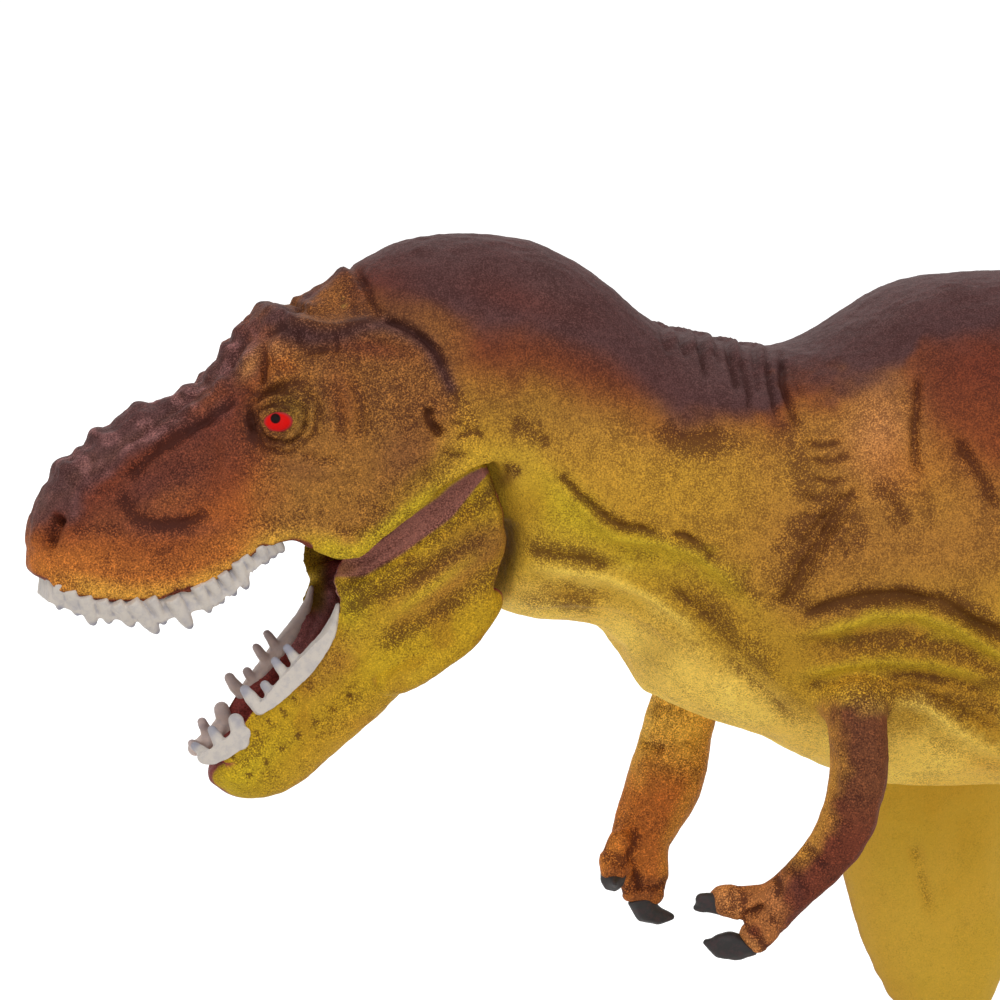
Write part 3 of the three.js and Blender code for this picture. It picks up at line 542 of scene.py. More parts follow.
    def seen(self) -> tuple[np.ndarray, np.ndarray]:
        """The points' own pixels, and how much each faces the camera."""
        return VIEW.project(self.points), self.normals @ VIEW.back

    def sculpt(self, marks: Iterable[Stroke | Mound], pixels: np.ndarray, facing: np.ndarray,
               mask: np.ndarray) -> None:
        """Works strokes and mounds into the skin.

        Args:
            marks: What to work in.
            pixels: Each point's pixel.
            facing: How much each point faces the camera.
            mask: Where the marks may work, from 0 to 1.
        """
        heights = np.zeros(len(self.points))
        strength = mask * smooth_step(-0.2, 0.06, facing)
        wobble = 0.6 * cell_noise(pixels, 17, 71) + 0.4 * cell_noise(pixels, 7, 72)
        for mark in marks:
            near, profile = mark.profile(pixels, wobble)
            profile = profile * strength[near]
            heights[near] += mark.height * profile
            # each mark also darkens the paint along it: painted shade in a groove or hollow, a darker wash on a
            # ridge
            self.wash_and_shade[near] = np.maximum(self.wash_and_shade[near], mark.wash_and_shade * profile)
        self.push(heights)

    def coat(self, colour: Colour, cover: np.ndarray | float) -> None:
        """Sprays a colour over what is there, as strongly as cover says."""
        amount = np.broadcast_to(cover, (len(self.points),))[:, None]
        self.colour = self.colour * (1 - amount) + np.array(colour)[None, :] * amount


def grown_copy(name: str, grow: float) -> bpy.types.Object:
    """Copies a CAD node, merges its loose triangles and grows it.

    Args:
        name: The node.
        grow: How far each point moves out, in metres.

    Returns:
        The copy, as an object of its own.
    """
    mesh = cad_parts[name].data.copy()
    mesh.materials.clear()
    shape = bmesh.new()
    shape.from_mesh(mesh)
    bmesh.ops.remove_doubles(shape, verts=shape.verts, dist=1e-6)
    shape.normal_update()
    if grow:
        moves = [vert.normal * grow for vert in shape.verts]
        for vert, move in zip(shape.verts, moves):
            vert.co += move
    shape.to_mesh(mesh)
    shape.free()
    copy = bpy.data.objects.new(f"{name}_copy", mesh)
    bpy.context.scene.collection.objects.link(copy)
    return copy


def remeshed(pieces: Sequence[bpy.types.Object], voxel: float) -> bpy.types.Mesh:
    """Joins objects and wraps one closed surface round them.

    Args:
        pieces: The objects, which are used up.
        voxel: Grid size in metres.

    Returns:
        The new mesh, of four-cornered faces.
    """
    bpy.ops.object.select_all(action="DESELECT")
    for piece in pieces:
        piece.select_set(True)
    bpy.context.view_layer.objects.active = pieces[0]
    if len(pieces) > 1:
        bpy.ops.object.join()
    whole = bpy.context.view_layer.objects.active
    remesh = whole.modifiers.new("wrap", "REMESH")
    remesh.mode = "VOXEL"
    remesh.voxel_size = voxel
    remesh.adaptivity = 0
    bpy.ops.object.modifier_apply(modifier=remesh.name)
    mesh = whole.data.copy()
    bpy.data.objects.remove(whole)
    return mesh


def node_tree(names: Iterable[str]) -> tuple[BVHTree, np.ndarray]:
    """Builds a search tree over CAD nodes.

    Args:
        names: The nodes, whose order numbers them.

    Returns:
        The tree, and for each of its faces the number of the node it is from.
    """
    points: list[Vector] = []
    faces: list[tuple[int, ...]] = []
    owner: list[int] = []
    for number, name in enumerate(names):
        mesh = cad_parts[name].data
        start = len(points)
        points += [vert.co.copy() for vert in mesh.vertices]
        faces += [tuple(start + i for i in polygon.vertices) for polygon in mesh.polygons]
        owner += [number] * len(mesh.polygons)
    return BVHTree.FromPolygons(points, faces), np.array(owner)


def paint_object(mesh: bpy.types.Mesh, colour: np.ndarray, wash_and_shade: np.ndarray, wet: np.ndarray) -> None:
    """Stores what is painted on a mesh as attributes that its material reads.

    Args:
        mesh: The mesh, which is changed.
        colour: Each point's paint.
        wash_and_shade: How thick each point's dark specks stand: wash from the dark streaks, and painted shade
            in grooves and hollows.
        wet: How damp each point looks.
    """
    paint = mesh.color_attributes.new("paint", "FLOAT_COLOR", "POINT")
    rows = np.concatenate([colour, np.ones((len(colour), 1))], axis=1)
    paint.data.foreach_set("color", rows.astype(np.float32).ravel())
    for name, values in (("wash_and_shade", wash_and_shade), ("wet", wet)):
        attribute = mesh.attributes.new(name, "FLOAT", "POINT")
        attribute.data.foreach_set("value", values.astype(np.float32))


def close_cuts(shape: bmesh.types.BMesh, sink: float) -> None:
    """Closes every cut: a narrow rim that turns inwards, then a lid over what is left.

    Args:
        shape: The open piece, which is changed.
        sink: Width of the rim, in metres.
    """
    shape.normal_update()
    rim = [edge for edge in shape.edges if edge.is_boundary]
    inward = {vert: vert.co - vert.normal * sink for edge in rim for vert in edge.verts}
    for edge in rim:
        edge.smooth = False
    grown = bmesh.ops.extrude_edge_only(shape, edges=rim)["geom"]
    for vert in (part for part in grown if isinstance(part, bmesh.types.BMVert)):
        for edge in vert.link_edges:
            if edge.other_vert(vert) in inward:
                vert.co = inward[edge.other_vert(vert)]
                break
    loose = {edge for edge in shape.edges if edge.is_boundary}
    groups: list[list[bmesh.types.BMEdge]] = []
    front: list[bmesh.types.BMEdge] = []
    while loose:
        waiting = [loose.pop()]
        loop = []
        while waiting:
            edge = waiting.pop()
            loop.append(edge)
            for vert in edge.verts:
                for other in vert.link_edges:
                    if other in loose:
                        loose.remove(other)
                        waiting.append(other)
        if sum(edge.verts[0].co.x for edge in loop) / len(loop) < -0.07:
            front += loop
        else:
            groups.append(loop)
    for loop in groups + ([front] if front else []):
        spots = np.array([edge.verts[0].co[:] for edge in loop])
        spread = spots - spots.mean(axis=0)
        flat = np.linalg.svd(spread, full_matrices=False)[2][-1]
        bmesh.ops.triangle_fill(shape, use_beauty=True, edges=loop, normal=Vector(flat))
    bmesh.ops.holes_fill(shape, edges=[edge for edge in shape.edges if edge.is_boundary], sides=0)
    bmesh.ops.recalc_face_normals(shape, faces=shape.faces)
    open_edges = sum(1 for edge in shape.edges if not edge.is_manifold)
    if open_edges:
        LOG.warning("%d edges stay open", open_edges)


def to_object(name: str, shape: bmesh.types.BMesh, mesh: bpy.types.Mesh) -> bpy.types.Object:
    """Writes a shape to a mesh, smoothly shaded, and makes an object of it.

    Args:
        name: Name of the object.
        shape: The shape, which is used up.
        mesh: The mesh that takes it.

    Returns:
        The object, in the scene.
    """
    for face in shape.faces:
        face.smooth = True
    shape.to_mesh(mesh)
    shape.free()
    mesh.update()
    obj = bpy.data.objects.new(name, mesh)
    bpy.context.scene.collection.objects.link(obj)
    return obj


def cut_piece(skin: Skin, name: str, labels: Sequence[int], overlap: float = 0.0009,
              sink: float = 0.0005) -> bpy.types.Object:
    """Cuts the faces of some labels out of a skin and closes the cuts.

    Args:
        skin: The whole skin.
        name: Name of the new object.
        labels: Which faces to take.
        overlap: How far the piece runs on beneath its neighbours, in metres, so that no gap shows.
        sink: How far the cut's rim turns inwards, in metres.

    Returns:
        The closed piece.
    """
    taken = np.isin(skin.labels, labels)
    step = np.linalg.norm(skin.points[skin.edges[:, 0]] - skin.points[skin.edges[:, 1]], axis=1).mean()
    rings = math.ceil(overlap / step)
    reached = np.zeros(len(skin.points), bool)
    reached[skin.faces[taken]] = True
    depth = np.zeros(len(skin.points))
    for ring in range(rings):
        touched = reached[skin.faces].any(axis=1) & ~taken
        taken |= touched
        fresh = np.unique(skin.faces[touched])
        fresh = fresh[~reached[fresh]]
        depth[fresh] = (ring + 1) / rings
        reached[fresh] = True
    points = skin.points - skin.normals * (depth * 0.4 * overlap)[:, None]
    points = np.clip(points, *np.array(CAD_BOX))
    used, faces = np.unique(skin.faces[taken], return_inverse=True)
    mesh = bpy.data.meshes.new(name)
    mesh.from_pydata(points[used].tolist(), [], faces.reshape(-1, 4).tolist())
    paint_object(mesh, skin.colour[used], skin.wash_and_shade[used], skin.wet[used])
    shape = bmesh.new()
    shape.from_mesh(mesh)
    if any(edge.is_boundary for edge in shape.edges):
        close_cuts(shape, sink)
    return to_object(name, shape, mesh)


def lay_lid(shape: bmesh.types.BMesh, side: float) -> None:
    """Closes the cut along the figure's middle with triangles that stay inside its outline.

    Args:
        shape: The open half, which is changed.
        side: -1 for the left half, 1 for the right one.
    """
    rim = [edge for edge in shape.edges if edge.is_boundary]
    corners = list({vert: None for edge in rim for vert in edge.verts})
    number = {vert: i for i, vert in enumerate(corners)}
    flat = [Vector((vert.co.x, vert.co.z)) for vert in corners]
    lines = [(number[edge.verts[0]], number[edge.verts[1]]) for edge in rim]
    spots, _, triangles, sources, _, _ = delaunay_2d_cdt(flat, lines, [], 1, 1e-9)
    for edge in rim:
        edge.smooth = False
    placed = [corners[source[0]] if source else shape.verts.new((spot.x, 0, spot.y)) for spot,
              source in zip(spots, sources)]
    for triangle in triangles:
        turn = triangle if side > 0 else triangle[::-1]
        if shape.faces.get([placed[i] for i in turn]) is None:
            shape.faces.new([placed[i] for i in turn])


def halve(whole: bpy.types.Object, name: str, side: float) -> bpy.types.Object:
    """Copies the half of a closed piece on one side of the figure's middle.

    Args:
        whole: The piece.
        name: Name of the new object.
        side: -1 for the left half, 1 for the right one.

    Returns:
        The closed half.
    """
    mesh = whole.data.copy()
    shape = bmesh.new()
    shape.from_mesh(mesh)
    everything = [*shape.verts, *shape.edges, *shape.faces]
    bmesh.ops.bisect_plane(shape, geom=everything, dist=1e-6, plane_co=(0, 0, 0), plane_no=(0, -side, 0),
                           clear_outer=True)
    lay_lid(shape, side)
    open_edges = sum(1 for edge in shape.edges if not edge.is_manifold)
    if open_edges:
        LOG.warning("%s: %d edges stay open", name, open_edges)
    return to_object(name, shape, mesh)


def finish_piece(obj: bpy.types.Object, node: str, body: Body,
                 material: bpy.types.Material) -> None:
    """Dresses a piece and ties it to the frame.

    Args:
        obj: The piece, with its place in its mesh.
        node: The CAD node that it stands for.
        body: The body that it moves with.
        material: Its material.
    """
    obj.data.materials.clear()
    obj.data.materials.append(material)
    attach(obj, body.value)
    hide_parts(node)
    LOG.info("%s: %d faces, %s", obj.name, len(obj.data.polygons), material.name)


class NodeKit:
    """Adds and wires shader nodes with few words."""

    def __init__(self, tree: bpy.types.NodeTree) -> None:
        """Works on one node tree."""
        self.tree = tree

    def add(self, kind: str, inputs: dict | None = None, **settings: object) -> bpy.types.Node:
        """Adds a node.

        Args:
            kind: The node's type, without the ShaderNode in front.
            inputs: Values for its inputs, or the outputs that feed them, by name or number.
            settings: Other properties of the node.

        Returns:
            The node.
        """
        node = self.tree.nodes.new(f"ShaderNode{kind}" if kind not in ("NodeGroupInput", "NodeGroupOutput")
                                   else kind)
        for key, value in settings.items():
            setattr(node, key, value)
        for key, value in (inputs or {}).items():
            if isinstance(value, bpy.types.NodeSocket):
                self.tree.links.new(value, node.inputs[key])
            else:
                node.inputs[key].default_value = value
        return node

    def math(self, operation: str, *values: object, clamp: bool = False) -> bpy.types.NodeSocket:
        """Adds a sum and returns its result."""
        node = self.add("Math", dict(enumerate(values)), operation=operation, use_clamp=clamp)
        return node.outputs[0]

    def blend(self, share: object, first: object, second: object, mode: str = "MIX") -> bpy.types.NodeSocket:
        """Mixes two colours.

        Args:
            share: How much of the second one, as a number or a socket.
            first: A colour or a socket.
            second: A colour or a socket.
            mode: How the second one is laid over the first.

        Returns:
            The result's socket.
        """
        node = self.add("Mix", {"Factor": share}, data_type="RGBA", blend_type=mode)
        for socket, value in ((node.inputs[6], first), (node.inputs[7], second)):
            if isinstance(value, bpy.types.NodeSocket):
                self.tree.links.new(value, socket)
            else:
                socket.default_value = (*value, 1)
        return node.outputs[2]

    def range(self, value: object, low: float, high: float) -> bpy.types.NodeSocket:
        """Eases a value from 0 at low to 1 at high."""
        settings = {"Value": value, "From Min": low, "From Max": high}
        return self.add("MapRange", settings, interpolation_type="SMOOTHSTEP").outputs[0]

    def noise(self, place: bpy.types.NodeSocket, size: float, detail: float = 2,
              roughness: float = 0.5) -> bpy.types.NodeSocket:
        """Noise whose lumps are about size metres across."""
        inputs = {"Vector": place, "Scale": 1 / size, "Detail": detail, "Roughness": roughness}
        return self.add("TexNoise", inputs).outputs["Fac"]


def new_group(name: str, inputs: dict[str, tuple[str, object]],
              outputs: dict[str, str]) -> tuple[bpy.types.NodeTree, NodeKit]:
    """Starts a shader node group.

    Args:
        name: The group's name.
        inputs: Socket type and default for each input.
        outputs: Socket type for each output.

    Returns:
        The group and a kit to fill it with.
    """
    tree = bpy.data.node_groups.new(name, "ShaderNodeTree")
    for key, (kind, default) in inputs.items():
        socket = tree.interface.new_socket(key, in_out="INPUT", socket_type=f"NodeSocket{kind}")
        socket.default_value = default
    for key, kind in outputs.items():
        tree.interface.new_socket(key, in_out="OUTPUT", socket_type=f"NodeSocket{kind}")
    return tree, NodeKit(tree)


def build_speckle_group() -> bpy.types.NodeTree:
    """Builds the airbrush effect: paint broken up by dark and light specks, darker where the wash of the streaks
    and the painted shade of grooves and hollows lie.

    Returns:
        The node group, from paint, wash with painted shade, and amount to a colour.
    """
    inputs = {
        "Paint": ("Color", (0.5, 0.4, 0.2, 1)),
        "Wash and Shade": ("Float", 0.0),
        "Amount": ("Float", 0.6),
        "Depth": ("Float", 0.6),
        "Lift": ("Float", 1.5),
        "Speck Size": ("Float", 0.0005),
        "Dark": ("Color", (*PAINT.shade, 1)),
    }
    tree, kit = new_group("airbrush_speckle", inputs, {"Color": "Color"})
    given = kit.add("NodeGroupInput")
    place = kit.add("TexCoord").outputs["Object"]
    scale = kit.math("DIVIDE", 1.0, given.outputs["Speck Size"])
    fine = kit.add("TexNoise", {"Vector": place, "Scale": scale, "Detail": 2.0,
                                "Roughness": 0.6}).outputs["Fac"]
    coarse = kit.noise(place, 0.0011, 2, 0.6)
    specks = kit.math("ADD", kit.math("MULTIPLY", fine, 0.78), kit.math("MULTIPLY", coarse, 0.22))
    patchy = kit.range(kit.noise(place, 0.006, 3, 0.6), 0.3, 0.7)
    density = kit.math("MULTIPLY", given.outputs["Amount"],
                       kit.math("ADD", 0.2, kit.math("MULTIPLY", patchy, 0.26)))
    density = kit.math("ADD", density, given.outputs["Wash and Shade"], clamp=True)
    raised = kit.math("ADD", specks, kit.math("MULTIPLY", kit.math("SUBTRACT", density, 0.5), 0.4))
    bare = kit.range(given.outputs["Wash and Shade"], 0.45, 0.12)
    depth = kit.math("SUBTRACT", 1.0, kit.math("MULTIPLY", bare,
                                               kit.math("SUBTRACT", 1.0, given.outputs["Depth"])))
    dark = kit.math("MULTIPLY", kit.range(raised, 0.4, 0.64), depth)
    light = kit.math("MULTIPLY", kit.range(specks, 0.48, 0.34),
                     kit.math("MULTIPLY", given.outputs["Amount"], depth))
    warm = kit.blend(1.0, given.outputs["Paint"], (1.0, 0.95, 0.87), "MULTIPLY")
    bright = kit.add("VectorMath", {0: warm, "Scale": given.outputs["Lift"]}, operation="SCALE").outputs[0]
    lit = kit.blend(light, given.outputs["Paint"], bright)
    deep = kit.blend(0.4, kit.blend(1.0, given.outputs["Paint"], (0.42, 0.34, 0.36), "MULTIPLY"),
                     given.outputs["Dark"])
    kit.add("NodeGroupOutput", {"Color": kit.blend(dark, lit, deep)})
    return tree


def build_grain_group() -> bpy.types.NodeTree:
    """Builds the skin's fine relief: a leathery pebble over a softer unevenness.

    Returns:
        The node group, which puts out a height.
    """
    inputs = {"Pebble Size": ("Float", 0.0007), "Pebble": ("Float", 1.0), "Grain": ("Float", 0.5)}
    tree, kit = new_group("leather_grain", inputs, {"Height": "Float"})
    given = kit.add("NodeGroupInput")
    place = kit.add("TexCoord").outputs["Object"]
    warp = kit.add("TexNoise", {"Vector": place, "Scale": 500.0, "Detail": 1.0}).outputs["Color"]
    bent = kit.add("VectorMath", {0: place, 1: kit.add("VectorMath", {0: warp, "Scale": 0.0006},
                                                       operation="SCALE").outputs[0]},
                   operation="ADD").outputs[0]
    scale = kit.math("DIVIDE", 1.0, given.outputs["Pebble Size"])
    cells = kit.add("TexVoronoi", {"Vector": bent, "Scale": scale}, feature="SMOOTH_F1").outputs["Distance"]
    pebble = kit.math("MULTIPLY", kit.math("SUBTRACT", 1.0, cells), given.outputs["Pebble"])
    grain = kit.math("MULTIPLY", kit.noise(place, 0.0003, 3, 0.6), given.outputs["Grain"])
    kit.add("NodeGroupOutput", {"Height": kit.math("ADD", pebble, grain)})
    return tree


@dataclass(frozen=True)
class SkinFinish:
    """Painted soft plastic: matt, speckled and finely grained."""

    name: str
    speckle: float = 0.9
    speck_size: float = 0.00023
    depth: float = 0.74
    lift: float = 1.5
    pebble: float = 0.6
    pebble_size: float = 0.0007
    relief: float = 0.00012
    roughness: float = 0.66
    coat: float = 0.0
    gloss: float = 0.1

    def build(self, groups: dict[str, bpy.types.NodeTree]) -> bpy.types.Material:
        """Builds the material.

        Args:
            groups: The shared node groups by name.

        Returns:
            The material.
        """
        material = bpy.data.materials.new(self.name)
        material.use_nodes = True
        kit = NodeKit(material.node_tree)
        shader = material.node_tree.nodes["Principled BSDF"]
        paint = kit.add("Attribute", attribute_name="paint").outputs["Color"]
        wash_and_shade = kit.add("Attribute", attribute_name="wash_and_shade").outputs["Fac"]
        wet = kit.add("Attribute", attribute_name="wet").outputs["Fac"]
        speckle = kit.add("Group", node_tree=groups["speckle"])
        speckle.inputs["Amount"].default_value = self.speckle
        speckle.inputs["Speck Size"].default_value = self.speck_size
        speckle.inputs["Depth"].default_value = self.depth
        speckle.inputs["Lift"].default_value = self.lift
        kit.tree.links.new(paint, speckle.inputs["Paint"])
        kit.tree.links.new(wash_and_shade, speckle.inputs["Wash and Shade"])
        kit.tree.links.new(speckle.outputs["Color"], shader.inputs["Base Color"])
        place = kit.add("TexCoord").outputs["Object"]
        mottle = kit.noise(place, 0.0012, 2, 0.6)
        rough = kit.math("ADD", self.roughness - 0.08, kit.math("MULTIPLY", mottle, 0.16))
        rough = kit.math("SUBTRACT", rough, kit.math("MULTIPLY", wet, 0.3))
        kit.tree.links.new(rough, shader.inputs["Roughness"])
        grain = kit.add("Group", node_tree=groups["grain"])
        grain.inputs["Pebble"].default_value = self.pebble
        grain.inputs["Pebble Size"].default_value = self.pebble_size
        bump = kit.add("Bump", {"Height": grain.outputs["Height"], "Distance": self.relief, "Strength": 1.0})
        kit.tree.links.new(bump.outputs["Normal"], shader.inputs["Normal"])
        shader.inputs["Specular IOR Level"].default_value = self.gloss
        shader.inputs["Coat Weight"].default_value = self.coat
        shader.inputs["Coat Roughness"].default_value = 0.5
        return material


@dataclass(frozen=True)
class HardFinish:
    """A small hard piece: painted by attribute or in one colour with a fine mottle and grain."""

    name: str
    colour: Colour
    second: Colour
    roughness: float
    mottle_size: float = 0.001
    mottle: float = 0.35
    relief: float = 0.00004
    metallic: float = 0.0
    coat: float = 0.0
    gloss: float = 0.25
    painted: bool = False

    def build(self, groups: dict[str, bpy.types.NodeTree]) -> bpy.types.Material:
        """Builds the material.

        Args:
            groups: The shared node groups by name.

        Returns:
            The material.
        """
        material = bpy.data.materials.new(self.name)
        material.use_nodes = True
        kit = NodeKit(material.node_tree)
        shader = material.node_tree.nodes["Principled BSDF"]
        place = kit.add("TexCoord").outputs["Object"]
        cloud = kit.range(kit.noise(place, self.mottle_size, 3, 0.65), 0.42, 0.68)
        base = kit.add("Attribute", attribute_name="paint").outputs["Color"] if self.painted else self.colour
        colour = kit.blend(kit.math("MULTIPLY", cloud, self.mottle), base, self.second)
        kit.tree.links.new(colour, shader.inputs["Base Color"])
        rough = kit.math("ADD", self.roughness, kit.math("MULTIPLY", cloud, 0.12))
        shader.inputs["Specular IOR Level"].default_value = self.gloss
        kit.tree.links.new(rough, shader.inputs["Roughness"])
        grain = kit.add("Group", node_tree=groups["grain"])
        grain.inputs["Pebble"].default_value = 0.2
        bump = kit.add("Bump", {"Height": grain.outputs["Height"], "Distance": self.relief, "Strength": 1.0})
        kit.tree.links.new(bump.outputs["Normal"], shader.inputs["Normal"])
        shader.inputs["Metallic"].default_value = self.metallic
        shader.inputs["Coat Weight"].default_value = self.coat
        shader.inputs["Coat Roughness"].default_value = 0.08
        return material


FIXED_NODES = ("skull", "trunk_left_shell", "trunk_right_shell", "tail", "left_arm", "right_arm", "left_leg",
               "right_leg")
EYE_NODES = ("left_eye", "right_eye")
TRUNK_NODES = ("trunk_left_shell", "trunk_right_shell")


@dataclass(frozen=True)
class Blob:
    """Extra clay laid on before a skin is wrapped: balls along a line of pixels, at a set depth."""

    line: tuple[Pixel, ...]
    girths: tuple[float, ...]
    depth_of: str = ""
    depth: float = 0.0
    under: Pixel | None = None
    squash: float = 1.0
    both_sides: bool = False

    def build(self) -> list[bpy.types.Object]:
        """Builds the balls.

        Returns:
            One object for each ball and side.
        """
        y = self.depth
        if self.under:
            found = VIEW.hit(self.under, node_tree([self.depth_of])[0])
            if found is None:
                LOG.warning("nothing of %s at %s", self.depth_of, self.under)
                return []
            y = found[0][1] + self.depth
        elif self.depth_of:
            low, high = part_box(self.depth_of)
            y = (low.y + high.y) / 2
        balls = []
        marks = np.arange(len(self.line), dtype=float)
        for step in np.linspace(0, marks[-1], 4 * len(self.line) - 3):
            pixel = tuple(np.interp(step, marks, [spot[i] for spot in self.line]) for i in (0, 1))
            girth = np.interp(step, marks, self.girths) * MM
            for side in (1, -1) if self.both_sides else (1,):
                place = VIEW.on_plane(pixel, y)
                balls.append(clay_ball((place[0], place[1] * side, place[2]), girth, self.squash))
        return balls


def clay_ball(place: Sequence[float], girth: float, squash: float = 1.0) -> bpy.types.Object:
    """Models a ball of clay.

    Args:
        place: Its middle.
        girth: Its radius, in metres.
        squash: Its thickness from side to side, as a share of its height.

    Returns:
        The ball.
    """
    bpy.ops.object.select_all(action="DESELECT")
    bpy.ops.mesh.primitive_uv_sphere_add(segments=20, ring_count=12, radius=girth)
    ball = bpy.context.object
    ball.data.transform(Matrix.Translation(Vector(place)) @ Matrix.Diagonal((1, squash, 1, 1)))
    return ball


EXTRA_CLAY = (
    Blob(((782, 897), (756, 893), (724, 901)), (1.9, 1.6, 2.35), depth_of="left_hand_claw_1"),
    Blob(((800, 888), (776, 918), (752, 938)), (2.9, 2.4, 2.1), depth_of="left_hand_claw_2"),
    Blob(((619, 840), (614, 858), (613, 872)), (2.0, 2.3, 1.9), depth_of="right_hand_claw_1"),
    Blob(((650, 848), (655, 872), (651, 892)), (2.9, 2.5, 2.2), depth_of="right_hand_claw_2"),
    Blob(((487, 450), (489, 456)), (1.5, 1.5), depth=-0.0164, squash=0.65, both_sides=True),
    # swelling at the corner of the mouth and the cheek's edge behind it
    Blob(((318, 546), (336, 550), (354, 548), (376, 533), (400, 516), (430, 494)),
         (1.3, 1.8, 1.8, 1.6, 1.4, 1.0), depth_of="skull", depth=0.0007, under=(352, 528), squash=0.5),
    Blob(((330, 540), (354, 540), (376, 528), (400, 512), (430, 492)), (0.9, 1.2, 1.2, 1.1, 0.9),
         depth_of="skull", depth=0.0007, under=(352, 528), squash=0.5, both_sides=True),
    # lip over the last upper teeth
    Blob(((270, 543), (284, 537), (298, 537), (312, 543)), (0.6, 0.9, 1.0, 1.2),
         depth_of="skull", depth=0.0008, under=(296, 515), squash=0.6, both_sides=True),
    # front of the chest, below the throat
    Blob(((645, 646), (650, 668), (664, 690)), (3.0, 2.6, 2.2), depth=0.0, squash=2.2),
    Blob(((596, 618), (608, 621), (624, 630), (638, 644)), (1.0, 1.2, 1.5, 2.0), depth=0.0, squash=1.6),
    Blob(((600, 616), (612, 622), (626, 634)), (0.9, 1.4, 2.0), depth=-0.005, squash=1.6, both_sides=True),
)

LIP_LINE = ((30, 570), (50, 584), (75, 590), (130, 600), (175, 598), (230, 575), (265, 550), (285, 545),
            (310, 550), (345, 558), (375, 545), (400, 525), (440, 495), (490, 465))
SLATE_LINE = ((20, 505), (60, 490), (112, 465), (150, 440), (185, 412), (214, 392), (240, 352), (262, 322),
              (300, 322), (330, 296), (352, 284), (400, 300), (450, 316), (500, 334), (560, 346), (605, 362),
              (643, 392), (675, 422), (723, 428), (768, 428), (788, 386), (851, 380), (908, 378), (926, 346),
              (1000, 335), (1150, 348), (1300, 382), (1500, 405), (2100, 420))
RED_LINE = ((240, 372), (300, 345), (360, 325), (395, 332), (450, 372), (500, 386), (564, 394), (605, 406),
            (643, 426), (700, 438), (774, 446), (806, 425), (851, 392), (905, 390), (928, 430), (1000, 480),
            (1100, 470), (1250, 440), (1500, 440), (2100, 440))
TAN_LINE = ((300, 400), (440, 430), (500, 404), (560, 398), (620, 424), (700, 446), (770, 466), (850, 470),
            (920, 470), (1000, 540), (1200, 520), (1500, 475), (2100, 450))
FLANK_LINE = ((440, 452), (500, 446), (545, 452), (570, 484), (620, 528), (700, 556), (745, 592), (790, 622),
              (850, 690), (890, 700), (920, 705), (1000, 742), (1150, 690), (1300, 600), (1500, 540),
              (2100, 460))
BELLY_LINE = ((480, 572), (520, 592), (600, 600), (650, 622), (690, 640), (740, 670), (790, 705), (830, 722),
              (900, 715), (960, 736), (1010, 762), (1150, 740), (1300, 640), (1500, 560), (2100, 470))


# how wide and how dark the streaks are sprayed, as shares of what their rows say
STREAK_WIDTH = 1.28
STREAK_COVER = 0.84
# how much of the streaks the light edges of the folds take away
EDGE_CLEARING = 0.6
# the darkest that streaks, specks and the painted shade in grooves may get together
MOST_WASH_AND_SHADE = 0.92


def above(x: np.ndarray, y: np.ndarray, line: Sequence[Pixel], soft: float) -> np.ndarray:
    """1 above a line of pixels and 0 below it, over a soft edge."""
    return smooth_step(soft, -soft, y - line_height(x, line))


def soft_line(pixels: np.ndarray, line: Sequence[Pixel], reach: np.ndarray) -> np.ndarray:
    """Makes a soft line of spray that fades out at both ends.

    Args:
        pixels: Each point's pixel.
        line: The line's corners.
        reach: How far the spray reaches beside the line, for each point.

    Returns:
        1 on the line, falling to 0 beside it, for each point.
    """
    gap, along = to_segments(pixels, line)
    taper = smooth_step(-0.05, 0.25, along) * smooth_step(1.05, 0.75, along)
    return taper * np.exp(-((gap / reach) ** 2))


def spray_spots(skin: Skin, spot: Callable, rows: Iterable[tuple]) -> None:
    """Sprays soft spots, one coat for each row.

    Args:
        skin: The skin to be sprayed.
        spot: Makes a soft patch.
        rows: Each a colour, and then patches of that colour: cover, place, half length and width, and tilt.
    """
    for colour, *patches in rows:
        skin.coat(colour, sum(cover * spot(*place) for cover, *place in patches))


